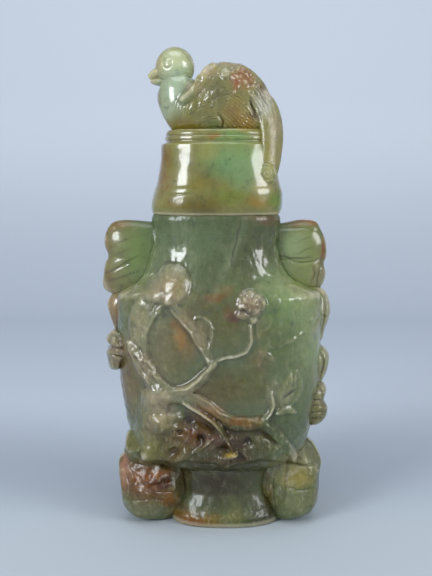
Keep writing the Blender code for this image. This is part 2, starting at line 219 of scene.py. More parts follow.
HOLLOW_SECTIONS = (
    (39.0, 17.0, 8.0, 0.5), (41.0, 26.0, 12.5, 0.3), (46.0, 32.0, 15.6, 0.0), (56.0, 35.0, 17.2, 0.0),
    (72.0, 36.6, 17.8, 0.0), (88.0, 36.4, 17.8, 0.0), (96.0, 33.0, 17.0, -0.4), (103.0, 26.0, 15.8, -1.4),
    (111.0, 21.6, 14.6, -2.0), (122.0, 20.6, 13.6, -2.2), (131.0, 21.6, 13.8, -2.0),
    (140.0, 22.0, 14.0, -1.9),
)
LID_SECTIONS = (
    (LID_FOOT, 27.4, 19.2, -1.5), (138.3, 28.1, 19.8, -1.5), (142.0, 28.8, 20.3, -1.2),
    (146.0, 28.5, 20.1, -0.8), (148.6, 28.0, 19.8, -0.6), (150.8, 27.2, 19.2, -0.6),
    (156.0, 26.0, 18.4, -0.6), (162.0, 25.0, 17.8, -0.8), (167.8, 24.5, 17.4, -1.0),
    (168.6, 23.8, 16.9, -1.0), (168.9, 22.7, 16.1, -1.0), (169.8, 22.4, 15.9, -1.0),
    (170.2, 22.8, 16.2, -1.0), (171.3, 22.7, 16.1, -1.0), (171.7, 22.3, 15.8, -1.0),
    (172.3, 22.4, 15.9, -1.0), (173.4, 22.1, 15.7, -1.0), (174.2, 21.3, 15.1, -1.0),
    (LID_TOP, 20.0, 14.2, -1.0),
)
LID_HOLLOW_SECTIONS = (
    (131.0, 17.4, 9.6, -1.9), (141.5, 17.4, 9.6, -1.6), (155.0, 16.6, 9.2, -1.0), (159.5, 12.4, 6.6, -1.0),
    (161.0, 7.0, 3.4, -1.0),
)
print("vase", MOUTH, "mm high, lid from", LID_FOOT, "to", LID_TOP, "mm")

# %% [markdown]
# ## Rings round the stone
# One ring of half size 1 serves every height: it is stretched to the sizes of that row. Its columns lie
# closer on the front, where the carving is. The normal of the grid gives the way outwards for the relief.

# %% Rings stretched to the sections
RING_BITS = 2001
DEEP_FOR_WIDE = 0.56


def unit_ring(columns, front_share):
    """Points round a superellipse of half width and half depth 1, given as x and y. A share of the columns
    lies on the front half, spaced evenly along a section of the vase's own proportions."""
    angle = np.linspace(-math.pi, 0, RING_BITS)
    x = np.sign(np.cos(angle)) * np.abs(np.cos(angle)) ** (2 / SQUARENESS)
    y = -np.abs(np.sin(angle)) ** (2 / SQUARENESS)
    length = np.concatenate([[0], np.cumsum(np.hypot(np.diff(x), np.diff(y) * DEEP_FOR_WIDE))])
    front = round(columns * front_share)
    ahead = np.linspace(0, length[-1], front, endpoint=False)
    behind = np.linspace(length[-1], 0, columns - front, endpoint=False)
    ring_x = np.concatenate([np.interp(ahead, length, x), np.interp(behind, length, x)])
    ring_y = np.concatenate([np.interp(ahead, length, y), -np.interp(behind, length, y)])
    return ring_x, ring_y


def turned(sections, heights, columns, front_share=0.5):
    """A grid of superellipse rings: row i is the unit ring stretched to the half sizes at height i, and
    shifted."""
    ring_x, ring_y = unit_ring(columns, front_share)
    half_width, half_depth, shift = steady(sections, heights).T
    x = half_width[:, None] * ring_x + shift[:, None]
    y = half_depth[:, None] * ring_y
    return np.stack([x, y, np.broadcast_to(heights[:, None], x.shape)], axis=-1)


def outward(grid):
    """The unit normal at each point of a grid of rings that goes upwards with the front first: the cross
    product of the steps round the ring and along the rows."""
    around = np.roll(grid, -1, axis=1) - np.roll(grid, 1, axis=1)
    upward = np.gradient(grid, axis=0)
    normal = np.cross(around, upward)
    return normal / np.maximum(np.linalg.norm(normal, axis=-1, keepdims=True), 1e-9)


print("the section is widest at", max(row[1] for row in VASE_SECTIONS), "mm from its middle")

# %% [markdown]
# ## Tools for cutting relief
# Relief is a height above the ground that depends on the place on the face, x across and z up. It could be
# sculpted, but a height can be measured and corrected to a tenth of a millimetre. The heights are joined with
# a soft maximum, which leaves the small fillet that a polishing wheel leaves.

# %% Distances from a stroke
FAR = 99.0
STROKE_POINTS = 70


def follow(x, z, places, reach):
    """For every place of the ground: the distance from a stroke, the share of the way along it (0 to 1) and
    the side it lies on (-1 or 1). Places further than the reach only get a large distance."""
    path = stroke(places, STROKE_POINTS)
    heading = np.gradient(path, axis=0)
    heading /= np.linalg.norm(heading, axis=1)[:, None]
    low, high = path.min(axis=0) - reach, path.max(axis=0) + reach
    near = (x > low[0]) & (x < high[0]) & (z > low[1]) & (z < high[1])
    gap = np.stack([x[near], z[near]], axis=1)[:, None] - path
    nearest = np.argmin((gap**2).sum(axis=2), axis=1)
    closest = gap[np.arange(len(nearest)), nearest]
    turn = heading[nearest]
    distance, share, side = np.full(x.shape, FAR), np.zeros(x.shape), np.ones(x.shape)
    distance[near] = np.linalg.norm(closest, axis=1)
    share[near] = nearest / (STROKE_POINTS - 1)
    side[near] = np.sign(turn[:, 0] * closest[:, 1] - turn[:, 1] * closest[:, 0])
    return distance, share, side


def soft_max(a, b, soft=0.6):
    """The larger of two heights, with a fillet where they are within the softness of each other."""
    return np.maximum(a, b) + np.maximum(soft - np.abs(a - b), 0) ** 2 / (4 * soft)


def easing(value, low, high):
    """Zero below the low value, one above the high one, and a smooth step between."""
    u = np.clip((value - low) / (high - low), 0, 1)
    return u * u * (3 - 2 * u)


print("a quarter of the way up, the smooth step is at", round(float(easing(0.25, 0, 1)), 2))

# %% [markdown]
# ## Branches and leaves
# A branch is a height that falls away with the distance from its course, with a few sharp ridges along it. A
# leaf is the same, with a width that swells and closes, a groove along its midrib and slanting veins.

# %% Branches and leaves as heights
RIDGE_WIDTH = 0.62


def cut_branch(x, z, places, half_widths, rise, ridges=(), power=1.3):
    """A branch that melts into the ground: its section is rise * (1 - s^2)^power, with s the distance over
    the half width. Each ridge (side, height) adds a narrow bell there, with side from -1 to 1 across the
    branch. The ridges waver a little on the way, as a hand-held wheel leaves them."""
    distance, share, side = follow(x, z, places, max(half_widths) + 1)
    half = np.interp(share, np.linspace(0, 1, len(half_widths)), half_widths)
    across = np.clip(side * distance / half, -1, 1)
    height = rise * (1 - across**2) ** power
    waver = 0.10 * np.sin(11 * share + places[0][0]) + 0.06 * np.sin(27 * share + places[0][1])
    for place, crest in ridges:
        bell = np.exp(-(((across - place - waver) * half / RIDGE_WIDTH) ** 2))
        height += crest * bell * (distance < half) * easing(np.minimum(share, 1 - share), 0, 0.12)
    return height * (distance < FAR)


def cut_leaf(x, z, places, half_width, rise, veins=5, rim=0.0):
    """A leaf: its half width follows sin(pi t)^0.6, its top is rise * (1 - |s|^3)^0.6, and the midrib and the
    slanting veins are cut into it as narrow valleys. A rim raises its edge instead of letting it fall."""
    distance, share, _ = follow(x, z, places, half_width + 1)
    half = half_width * np.sin(math.pi * np.clip(share * 0.94 + 0.03, 0, 1)) ** 0.6
    s = np.clip(distance / half, 0, 1)
    top = (1 - s**3) ** 0.6 * (1 - rim) + rim * np.sqrt(1 - s**8) * (0.35 + 0.65 * s**2)
    midrib = np.exp(-((distance / 0.4) ** 2)) * easing(1 - share, 0.05, 0.4)
    vein = np.cos(2 * math.pi * (share * veins - 0.5 * s)) ** 8 * easing(s, 0.1, 0.3) * (veins > 0)
    return rise * top - easing(1 - s, 0, 0.2) * (0.45 * midrib + 0.22 * vein)


print("a ridge is about", 2 * RIDGE_WIDTH, "mm wide")

# %% [markdown]
# ## Fruit, grooves and rough rock
# A fruit is a dome. A groove is one pass of a thin wheel. Rough rock is chipped, not ground, so it is made of
# planes, of which each place takes the highest.

# %% Fruit, grooves and rough rock as heights
def cut_dome(x, z, centre, radii, rise, turn=0.0):
    """A fruit or knot: half an ellipsoid, rise * sqrt(1 - r^2), turned by some degrees."""
    cosine, sine = math.cos(math.radians(turn)), math.sin(math.radians(turn))
    u = ((x - centre[0]) * cosine + (z - centre[1]) * sine) / radii[0]
    v = ((z - centre[1]) * cosine - (x - centre[0]) * sine) / radii[1]
    return rise * np.sqrt(np.clip(1 - u * u - v * v, 0, 1))


def cut_groove(x, z, places, half_width, depth):
    """A groove: a narrow bell-shaped valley along a stroke, fading at both ends."""
    distance, share, _ = follow(x, z, places, 3 * half_width)
    fade = np.sin(math.pi * np.clip(share, 0.04, 0.96)) ** 0.3
    return -depth * np.exp(-((distance / half_width) ** 2)) * fade


def cut_rock(x, z, spacing, slope, seed, area):
    """Rough rock: facets scattered over an area, each a plane that tilts its own way and falls off with the
    distance from its middle. Every place takes the highest of them."""
    random = np.random.default_rng(seed)
    (left, low), (right, high) = area
    count = int((right - left) * (high - low) / spacing**2)
    seeds = random.uniform((left, low), (right, high), (count, 2))
    heading = random.uniform(0, 2 * math.pi, count)
    tilt = slope * random.uniform(0.3, 1.0, count) * np.stack([np.cos(heading), np.sin(heading)])
    level = random.uniform(-0.5, 0.5, count) * slope * spacing
    away_x, away_z = x[..., None] - seeds[:, 0], z[..., None] - seeds[:, 1]
    height = level + away_x * tilt[0] + away_z * tilt[1] - 1.15 * slope * np.hypot(away_x, away_z)
    return height.max(axis=-1)


def on_face(x, z):
    """The places of the face with a third number, 0, so that waves can read them."""
    return np.stack([x, z, 0 * x], axis=-1)


def topmost(heights, soft=0.6):
    """All the heights joined with the soft maximum, above the ground."""
    joined = np.zeros_like(heights[0])
    for height in heights:
        joined = soft_max(joined, height, soft)
    return joined


def measure(name, carve, low=25, high=120):
    """Prints how far a carving stands out at its highest, read on a coarse grid of the face."""
    across, up = np.meshgrid(np.linspace(-48, 48, 97), np.linspace(low, high, 96))
    print(name, "stands", round(float(carve(across, up).max()), 1), "mm proud")


measure("a test dome", lambda x, z: cut_dome(x, z, (0, 80), (9, 9), 4.0))

# %% [markdown]
# ## What is carved on the front
# The carving starts from a knot at the left, where a peach hangs. From there a branch runs in a big loop down
# to the right and back to the left edge. Strap-like stems leave it along the bottom, round an oval patch of
# bare stone, and run down to the rock at the right. A rough blossom on a thin stem fills the right half.
# Below everything lies a band of broken rock. Each line below is one cut of the wheel: its course in mm, its
# width and its height.

# %% The loop at the left
def carve_loop(x, z):
    """The soft maximum of the branches of the loop. Slanting fibres, a sine of x and z, run along its thick
    limb."""
    fibres = 0.3 * np.sin(3.6 * (x * 0.83 + z * 0.55)) * easing(z, 58, 66) * easing(88 - z, 2, 8) * (x < -20)
    limb = cut_branch(x, z, ((-38, 83.5), (-35, 77.7), (-30.6, 70.4), (-25, 63.6)), (2.0, 3.6, 4.6, 5.4), 2.8,
                      ((0.5, 0.7), (-0.3, 0.5)), 0.9)
    return topmost([
        cut_branch(x, z, ((-21.6, 101.6), (-18.4, 99.2), (-14.2, 94.6), (-10.4, 90), (-6.9, 83.8),
                          (-4.4, 78.4), (-3.9, 73.9)),
                   (2.0, 3.2, 3.4, 2.4, 1.8), 2.1, ((-0.66, 1.7), (0.7, 0.5))),
        cut_branch(x, z, ((-11.4, 93.4), (-9.4, 95.7), (-6.4, 95.4), (-3.7, 92.2), (-3.2, 88), (-4.1, 84.1),
                          (-5.2, 80)), (0.5, 1.3, 1.4, 1.0), 1.1, ((0, 1.0),)),
        cut_dome(x, z, (-7.4, 88.8), (4.0, 7.4), 1.6, 8),
        cut_dome(x, z, (-2.8, 75.0), (1.7, 2.9), 2.8, -35),
        cut_branch(x, z, ((-3.4, 75.6), (-5.4, 71.7), (-10.1, 66.8), (-15.6, 63.5), (-21.1, 61.8),
                          (-27.4, 60.5)), (1.6, 3.0, 3.4, 4.2, 5.0), 2.9, ((-0.42, 1.1),), 1.0),
        cut_branch(x, z, ((-23.4, 101), (-26.4, 98), (-30.1, 92.4), (-32.2, 85.4), (-31.7, 78.4), (-29, 72.2),
                          (-24.6, 67)), (2.2, 2.6, 2.2, 1.6, 2.2), 1.9, ((0.55, 0.9),)),
        limb + fibres * (limb > 0.3),
        cut_branch(x, z, ((-33.4, 77.4), (-29.2, 75.4), (-26.4, 70.4), (-22.4, 66)), (1.0, 2.0, 1.6), 2.0,
                   ((0, 1.0),)),
        cut_dome(x, z, (-25.4, 61.6), (8.6, 5.4), 4.2, 15),
        cut_branch(x, z, ((-25.4, 63), (-27.2, 58.6), (-28.6, 51.2), (-30, 43.4), (-29.6, 35)),
                   (6.0, 7.4, 8.0, 7.4), 3.6, ((0.55, 0.7), (-0.2, 0.5)), 0.8),
        cut_leaf(x, z, ((-24.6, 106.4), (-29, 103.2), (-32.4, 98.2), (-34.6, 91.6), (-34.8, 81.8)), 4.4, 2.3,
                 veins=0, rim=0.5),
        cut_branch(x, z, ((-24.6, 104.4), (-30, 104.4), (-36, 103.4)), (1.3, 1.1, 0.7), 1.3, ((0, 0.6),)),
    ], 1.2)


def carve_peach(x, z):
    """A peach with its leaves: the soft maximum of five domes, with a cleft down the fruit."""
    fruit = topmost([
        cut_dome(x, z, (-19.6, 109.0), (7.8, 9.0), 4.4, -6),
        cut_dome(x, z, (-26.2, 108.4), (4.6, 6.2), 2.0, 12),
        cut_dome(x, z, (-25.6, 104.0), (4.4, 3.0), 3.2),
        cut_dome(x, z, (-20.8, 102.0), (3.8, 2.6), 3.4),
        cut_dome(x, z, (-29.2, 103.4), (2.8, 2.2), 2.4),
    ], 1.0)
    cleft = cut_groove(x, z, ((-25.0, 115.4), (-25.1, 110.6), (-23.2, 105.4)), 0.7, 0.7)
    return fruit + cleft * (fruit > 0.4)


measure("the loop", carve_loop)
measure("the peach", carve_peach)

# %% [markdown]
# ## The blossom and the right leaves
# The blossom is a rough lump whose petals are hardly parted, and thin leaves curl below its stem. Petals
# could be made one by one, but these melt into each other, so one dome comes closer: its rise changes with
# the angle and waves roughen it.

# %% The stems and the blossom at the right
def carve_blossom(x, z):
    """A dome whose rise follows 1 + cos(7 angle) / 10, roughened by waves, with its bud, leaves and two
    stems."""
    flat = on_face(x, z)
    petals = 1 + 0.10 * np.cos(7 * np.arctan2(z - 100.8, x - 13.0) + 0.6)
    flower = cut_dome(x, z, (13.0, 100.8), (6.8, 6.2), 3.3) * petals
    flower += np.where(flower > 0.4, 0.45 * waves(flat, 1.9, 5) + 0.45 * waves(flat, 3.6, 7), 0)
    flower += cut_groove(x, z, ((7.4, 97.8), (9.8, 98.8), (11.6, 97.4), (14.2, 97.8)), 0.6, 1.5)
    flower += cut_groove(x, z, ((16.8, 102.4), (18.2, 103.6)), 0.7, 0.9)
    return topmost([
        flower,
        cut_dome(x, z, (17.6, 101.6), (2.0, 2.6), 2.8, 20),
        cut_dome(x, z, (9.4, 96.6), (3.6, 2.6), 2.6, -10),
        cut_dome(x, z, (14.2, 94.4), (2.2, 2.0), 2.8),
        cut_dome(x, z, (18.0, 93.6), (3.9, 4.1), 1.1),
        cut_branch(x, z, ((13.4, 95), (13.0, 89.7), (13.3, 84.9), (11.4, 81.2), (7.4, 79.2), (2.5, 78.2),
                          (-2.6, 76.4)), (1.4, 1.8, 2.2, 1.6, 1.4, 1.4), 1.5, ((-0.1, 1.0),)),
        cut_branch(x, z, ((16.0, 91), (16, 89.3), (16.5, 84.6), (18.6, 82.0), (23.2, 82.4), (29.5, 84.6),
                          (34.9, 88.0), (38, 90.4)), (1.2, 1.3, 1.3, 1.3, 1.5), 0.8, ((0, 0.6),)),
    ], 0.8)


def carve_right_leaves(x, z):
    """The soft maximum of ten leaves, one for each row of a table, with a slot across the curled pair."""
    leaves = (
        # course, half width, rise, veins, rim
        (((17.3, 81.8), (17.1, 78.4), (16.2, 74.6)), 1.7, 1.7, 0, 0),
        (((17.3, 81.6), (19.8, 79.4), (22.6, 76.6)), 1.6, 1.6, 0, 0),
        (((17.3, 81.4), (15.2, 80.0), (13.0, 77.6)), 1.2, 1.3, 0, 0),
        (((19.8, 66), (22.0, 58.6), (25.2, 53.6)), 1.7, 1.9, 0, 0),
        (((26.6, 54.2), (24.8, 60.6), (22.6, 67.2)), 3.1, 2.0, 4, 0.7),
        (((26.8, 54.6), (27.1, 60.9), (28.5, 64.8), (30.2, 70.4)), 2.5, 2.4, 4, 0.4),
        (((27.6, 55), (31.2, 60.2), (33.1, 65.0), (32.5, 71.6)), 2.5, 2.4, 0, 0.6),
        (((29.0, 107), (36.8, 102.6), (42.6, 95.4)), 3.8, 1.3, 5, 0.3),
        (((42, 99.4), (41, 93), (38.3, 88.6), (37.3, 83.8)), 3.0, 1.7, 0, 0.4),
        (((32.4, 53.2), (28.4, 54.8), (23.4, 53.4)), 2.2, 2.6, 0, 0),
    )
    height = topmost([cut_leaf(x, z, *leaf) for leaf in leaves], 0.7)
    return height + cut_groove(x, z, ((27.2, 60.4), (29.4, 62), (32, 63.6)), 0.45, 1.4) * (height > 0.5)


measure("the blossom", carve_blossom)
measure("the right leaves", carve_right_leaves)

# %% [markdown]
# ## Straps and broken rock
# Thick straps frame the bare oval, and the rock under them is left chipped. A bump texture could fake the
# chips, but real facets catch light from every side, so they are cut into the height as well.

# %% The straps round the oval and the rock below them
def carve_straps(x, z):
    """The soft maximum of the straps round the oval and of the stems that cross the rock."""
    return topmost([
        cut_branch(x, z, ((-19, 60.6), (-12.6, 60.4), (-8, 59.0), (-2.9, 55.2), (2.2, 51.4), (6.6, 49.6),
                          (12.9, 49.2), (19, 50.4)),
                   (3.2, 3.6, 3.8, 3.6, 3.2), 2.9, ((0.62, 1.3), (-0.66, 0.9))),
        cut_branch(x, z, ((16.4, 49.8), (20.4, 52.8), (22.3, 57.6), (21.7, 62.6)), (2.2, 1.9, 1.6, 1.3), 2.3,
                   ((0, 1.0),)),
        cut_branch(x, z, ((15.8, 50.2), (20.5, 47.4), (24.8, 42.5), (29.6, 35.9), (32, 31)),
                   (2.8, 3.2, 3.2, 2.6), 3.6, ((0.62, 1.0), (-0.5, 0.8))),
        cut_branch(x, z, ((-15, 59.2), (-11.4, 57.0), (-6.7, 54.0), (-1.2, 49.4), (2.7, 43.4), (6.1, 37.2)),
                   (1.0, 1.4, 1.6, 2.0, 2.0, 1.6), 4.7, ((0.2, 0.9),), 1.0),
        cut_leaf(x, z, ((-0.6, 35.2), (3.4, 35.8), (7.6, 37.0)), 1.7, 5.6, veins=0),
        cut_branch(x, z, ((-11.4, 37.4), (-6, 41.2), (-1, 45.6)), (0.8, 1.3, 0.8), 4.8, ((0, 0.6),)),
    ], 0.9)


ROCK_HOLES = (((-12.4, 51.2), (2.6, 3.4)), ((-8.2, 44.4), (2.0, 3.2)), ((11.8, 42.2), (2.2, 2.6)),
              ((7.8, 34.6), (3.4, 2.0)), ((-19.4, 36.6), (2.6, 1.8)), ((-16.6, 46.8), (1.6, 1.2)))


def carve_rock_band(x, z):
    """Broken rock along the bottom: facets of two sizes on a swelling that keeps below the straps, with a few
    deep holes. Its lower edge is ragged."""
    upper = np.interp(x, (-38, -28, -16, -4, 5, 18, 28, 36), (50, 56, 56, 49, 46.5, 46, 40, 34))
    ragged = 0.9 * np.sin(x / 4.3 + 1) + 0.5 * np.sin(x / 1.7)
    band = easing(upper - z, -0.6, 3.6) * easing(z + ragged, 29.6, 34.6)
    band = band * easing(x, -37, -30) * easing(38 - x, 2, 10)
    area = ((-40, 24), (42, 62))
    facets = cut_rock(x, z, 7.5, 0.45, 3, area) + 0.6 * cut_rock(x, z, 3.8, 0.45, 4, area)
    bent = 0.9 * waves(on_face(x, z), 5, 6)
    away = [((x + bent - centre[0]) / radii[0]) ** 2 + ((z + bent - centre[1]) / radii[1]) ** 2
            for centre, radii in ROCK_HOLES]
    holes = 2.4 * sum(np.exp(-1.6 * square**1.2) for square in away)
    return band * (4.6 + facets - holes)


measure("the straps", carve_straps)
measure("the rock band", carve_rock_band)

# %% [markdown]
# ## The back
# The back is kept plainer, since such urns stand against a wall: a branch with two side shoots rises from a
# low band of rock, with three leaves and two fruits. The same cuts serve for it.

# %% What is carved on the back
def carve_back(x, z):
    """The soft maximum of branches, leaves and fruits, and of a low band of rock whose top edge waves."""
    carving = topmost([
        cut_branch(x, z, ((25, 36), (21, 54), (10, 68), (-6, 80), (-12.6, 96)), (2.8, 2.4, 2.0, 1.6), 3.2),
        cut_branch(x, z, ((10, 68), (0, 62), (-10, 60), (-18, 50), (-22, 38)), (1.6, 1.7, 1.9, 2.2), 2.8),
        cut_branch(x, z, ((-6, 80), (4, 86), (14, 86.6)), (1.3, 1.2, 1.1), 2.2),
        cut_leaf(x, z, ((12, 67), (3, 56), (-7, 52)), 4.4, 2.9),
        cut_leaf(x, z, ((6, 86), (14, 93), (24, 94)), 4.4, 2.9),
        cut_leaf(x, z, ((-12, 60.6), (-20, 68), (-24, 78)), 4.2, 2.8),
        cut_dome(x, z, (-14, 101), (7.0, 7.4), 4.6),
        cut_dome(x, z, (-5.4, 98.4), (4.0, 4.0), 3.2),
    ])
    band = easing(46 + 3 * np.sin(x / 7) - z, 0, 3) * easing(z, 29.0, 31.4) * easing(36 - np.abs(x), 0, 6)
    return soft_max(carving, band * (4.0 + cut_rock(x, z, 7.5, 0.42, 8, ((-40, 24), (42, 62)))))


measure("the back", carve_back)

# %% [markdown]
# ## The skin of the vase
# All of the relief is added along the normal of the plain outline, so one grid carries the foot, the body,
# the neck and everything cut on them. The front gets two columns out of three, because it holds the finest
# work. At the end a little of the difference between the height and its own blurred copy is added, which
# deepens the ground beside each raised edge as an undercut does. The rim of the foot keeps its height, so the
# urn stands flat. A Displace modifier with a height picture could do the same, only less exactly.

# %% Carve the skin
COLUMNS = 330
FOOT_RIM = 8
ROW_RANGES = ((0, FOOT_RIM, 12), (FOOT_RIM, 24, 14), (24, 32, 14), (32, 112, 146), (112, MOUTH, 26))
UNDERCUT = 0.24


def blurred(height, times):
    """Each height replaced by the mean of its neighbours, several times over."""
    for _ in range(times):
        sideways = (np.roll(height, 1, axis=1) + np.roll(height, -1, axis=1)) / 2
        padded = np.vstack([height[:1], height, height[-1:]])
        height = (height * 2 + sideways + (padded[:-2] + padded[2:]) / 2) / 4
    return height


rows = [np.linspace(low, high, count, endpoint=False) for low, high, count in ROW_RANGES]
heights = np.concatenate([*rows, [MOUTH]])
ground = turned(VASE_SECTIONS, heights, COLUMNS, front_share=0.69)
x, y, z = np.moveaxis(ground, -1, 0)
relief = carve_loop(x, z)
for carve in (carve_peach, carve_blossom, carve_right_leaves, carve_straps):
    relief = soft_max(relief, carve(x, z), 0.8)
relief = soft_max(relief, carve_rock_band(x, z), 0.8)
on_front = y < 0
relief = np.where(on_front, relief, carve_back(x, z))
relief *= easing(np.abs(y), 1.0, 6.0)
relief = blurred(relief, 1)
relief += UNDERCUT * (relief - blurred(relief, 6))
by_hand = easing(relief, 0.2, 1.6)
relief += by_hand * (0.24 * waves(ground, 3.6, 2) + 0.12 * waves(ground, 1.9, 3))
relief += 0.14 * waves(ground, 15, 1)
half_width, _, shift = steady(VASE_SECTIONS, heights).T
reach = np.abs(x - shift[:, None]) / half_width[:, None]
shoulder_edge = np.exp(-(((reach - 0.955) / 0.018) ** 2)) * easing(z, 99, 104) * easing(126 - z, 0, 6)
relief += 0.45 * shoulder_edge * on_front
skin = ground + outward(ground) * relief[..., None]
skin[..., 2] = np.where(z < FOOT_RIM, z, np.maximum(skin[..., 2], FOOT_RIM))
vase = form("vase_stone", skin)
print("relief up to", round(float(relief.max()), 2), "mm")

# %% [markdown]
# ## The handles
# Each handle is a thick leaf with two lobes, rounded like a pillow. Rings of the leaf's outline shrink
# towards its root as they rise, so the leaf is thickest in the middle. Fine grooves are then cut inwards, as
# veins. A bevelled flat outline would keep two flat faces, and polished stone has none.

# %% A pillow of stone
GOLDEN_TURN = 2.399963
ABOVE_TABLE = 0.06


def pillow(name, outline, root, half_thickness, grooves, columns=130, rows=42, forward=0.0, crumple=(0.1, 12),
           facets=None):
    """Half sizes follow cos^(2/p) and sin^(2/p) of an angle that runs from the back pole to the front pole:
    the outline shrinks by the first and the face stands out by the second. Grooves lower the face. Crumple is
    how far and at what spacing the whole surface waves. Facets, if any, are the number and the seed of planes
    that touch a ball, y = (1 - u u0 - v v0) / sqrt(1 - u0^2 - v0^2), pushed in a little. The face keeps below
    all of them."""
    edge = stroke([*outline, outline[0]], columns + 1)[:-1]
    inwards = np.linspace(0.03, 1, round(rows * 0.66))
    front = 0.65 * np.arccos(inwards**1.15) + 0.35 * (1 - inwards) * math.pi / 2
    angle = np.concatenate([-front, np.linspace(0, 0.985, rows - len(front) + 1)[1:] * math.pi / 2])[:, None]
    spread = np.abs(np.cos(angle)) ** (2 / 2.3)
    lift = np.sign(angle) * np.abs(np.sin(angle)) ** (2 / 2.1)
    x = root[0] + (edge[:, 0] - root[0]) * spread
    z = root[1] + (edge[:, 1] - root[1]) * spread
    cut = sum(cut_groove(x, z, *groove) for groove in grooves)
    if facets:
        count, seed = facets
        random = np.random.default_rng(seed)
        half_x, half_z = (edge.max(axis=0) - edge.min(axis=0)) / 2
        reach, turn = np.sqrt((np.arange(count) + 0.4) / count) * 0.95, np.arange(count) * GOLDEN_TURN + seed
        u0, v0 = reach * np.cos(turn), reach * np.sin(turn)
        pushed = random.uniform(0.74, 0.96, count) / np.sqrt(1 - u0**2 - v0**2)
        across, high = (x - root[0]) / half_x, (z - root[1]) / half_z
        planes = (pushed * (1 - across[..., None] * u0 - high[..., None] * v0)).min(axis=-1)
        lift = np.sign(lift) * np.minimum(np.abs(lift), np.maximum(planes, 0.1))
        area = (edge.min(axis=0), edge.max(axis=0))
        cut = cut + cut_rock(x, z, 5.0, 0.12, seed, area) * easing(np.abs(lift), 0.15, 0.7)
    y = forward + half_thickness * lift + np.sign(lift) * cut * (np.abs(lift) > 0.05)
    points = np.stack([x, y, z], axis=-1)
    points[..., 1] += crumple[0] * waves(points, crumple[1], 21)
    points[..., 0] += 0.6 * crumple[0] * waves(points, crumple[1], 22)
    points[..., 2] = np.maximum(points[..., 2], ABOVE_TABLE)
    return form(name, points)


print("nothing at the sides comes lower than", ABOVE_TABLE, "mm")

# %% Make the handles
LEFT_LEAF = ((-24, 134), (-33, 134.8), (-42, 135.3), (-47.6, 134.0), (-50.6, 129.4), (-51.2, 124.4),
             (-49.6, 119.4), (-51.2, 115.6), (-51.8, 111), (-52.0, 105.4), (-48.4, 102.4), (-38, 99.5),
             (-27, 101), (-21, 112))
RIGHT_LEAF = ((21, 133), (29, 134.2), (36, 135.4), (42.4, 134.6), (44.8, 131.2), (47.2, 126), (47.6, 119.4),
              (46.4, 116.0), (47.4, 111), (44.8, 104.8), (37, 99.5), (27, 101), (20, 112))
LEFT_VEINS = (
    (((-40.3, 116.2), (-43.8, 114.7), (-47.3, 113.1), (-51.6, 111.0)), 0.3, 0.45),
    (((-36.8, 111.4), (-41.7, 109.6), (-46, 107.8)), 0.25, 0.3),
    (((-49, 118.6), (-51.4, 117.6)), 0.5, 0.6),
    (((-42, 135.2), (-46, 131.4), (-50.8, 130.4)), 0.4, 0.25),
)
RIGHT_VEINS = (
    (((24, 120.4), (25.2, 119.4), (26.7, 118.0), (30.0, 118.6), (33.1, 117.1), (36.6, 116.9), (40.6, 117.3),
      (46, 118.8)), 0.35, 0.9),
    (((44.9, 115.4), (43.5, 110.8), (43.0, 104.6)), 0.35, 0.8),
    (((22, 131.4), (30, 131.8), (38, 131.8), (44.6, 130.0)), 0.4, 0.5),
)
left_handle = pillow("left handle", LEFT_LEAF, (-35, 119), 6.5, LEFT_VEINS)
right_handle = pillow("right handle", RIGHT_LEAF, (33, 119), 6.5, RIGHT_VEINS)
print("the handles reach from", LEFT_LEAF[9][0], "to", RIGHT_LEAF[6][0], "mm")

# %% [markdown]
# ## Rocks and side leaves
# Each boulder beside the foot is a thick pillow, made like a handle, whose face is broken into planes of two
# sizes and split by a few grooves. The planes touch a ball from outside, which keeps them few and large, as a
# chisel leaves them. The bud, the blossom and the folded leaves at the sides are pillows too, only smaller
# and more crumpled.

# %% The outlines of the rocks and the side leaves
LEFT_ROCK = ((-37, 33.4), (-41.8, 31.2), (-45.2, 28.4), (-45.6, 24.4), (-45.1, 18.7), (-44.6, 13.1),
             (-43.9, 8.4), (-42.1, 4.6), (-39.0, 2.0), (-34.9, 0.6), (-30.8, 0.2), (-24.8, 0.4), (-19.4, 2.2),
             (-15.6, 8), (-14.6, 15), (-14.6, 23), (-17.8, 29.4), (-24, 33), (-30.6, 34.4))
LEFT_CREST = ((-35.6, 45.6), (-39.7, 42.7), (-41.7, 39.9), (-42.5, 34.8), (-42.9, 31.6), (-40.6, 27.8),
              (-33.8, 25.1), (-25.1, 26.9), (-20.5, 32.5), (-22.4, 39.4), (-29.1, 44.6))
RIGHT_ROCK = ((38.0, 38.6), (41.7, 36.2), (44.5, 31.4), (45.9, 27.4), (45.5, 24.3), (45.1, 20.1),
              (44.9, 13.1), (44.1, 8.4), (42.6, 5.0), (40.2, 2.6), (35.7, 0.9), (30.2, 0.2), (25.1, 1.0),
              (21.4, 4.6), (19.0, 11), (18.4, 19), (20.4, 26.2), (25.3, 31.4), (30.8, 35.3), (34.4, 38.2))
LEFT_BUD = ((-43, 104.5), (-47.4, 103), (-50.2, 98.8), (-49.8, 94.6), (-48.2, 89.6), (-46.8, 86.4), (-43, 86))
LEFT_BLOSSOM = ((-43, 87), (-47.6, 87), (-50.2, 83.4), (-48.4, 80.6), (-50.4, 77.6), (-49.4, 73),
                (-48.8, 69.4), (-45.4, 69), (-43, 71.8), (-37, 72.6), (-34.6, 79), (-37.4, 84))
RIGHT_FLANGE = ((39, 106.5), (45.6, 105.2), (48.8, 100), (49.2, 95), (47, 87), (45, 81.4), (41, 79), (37, 88))
RIGHT_LOBE = ((40, 82), (45.4, 80), (48.8, 76), (48.4, 70), (46.6, 64.6), (43, 61.4), (38, 64), (37, 74))
RIGHT_SHELL = ((40, 64.4), (45, 64.2), (47.9, 60.4), (46.9, 55.2), (48.6, 51.6), (47.4, 46.6), (43.6, 43.4),
               (38.4, 44), (35.6, 50), (36.4, 58))
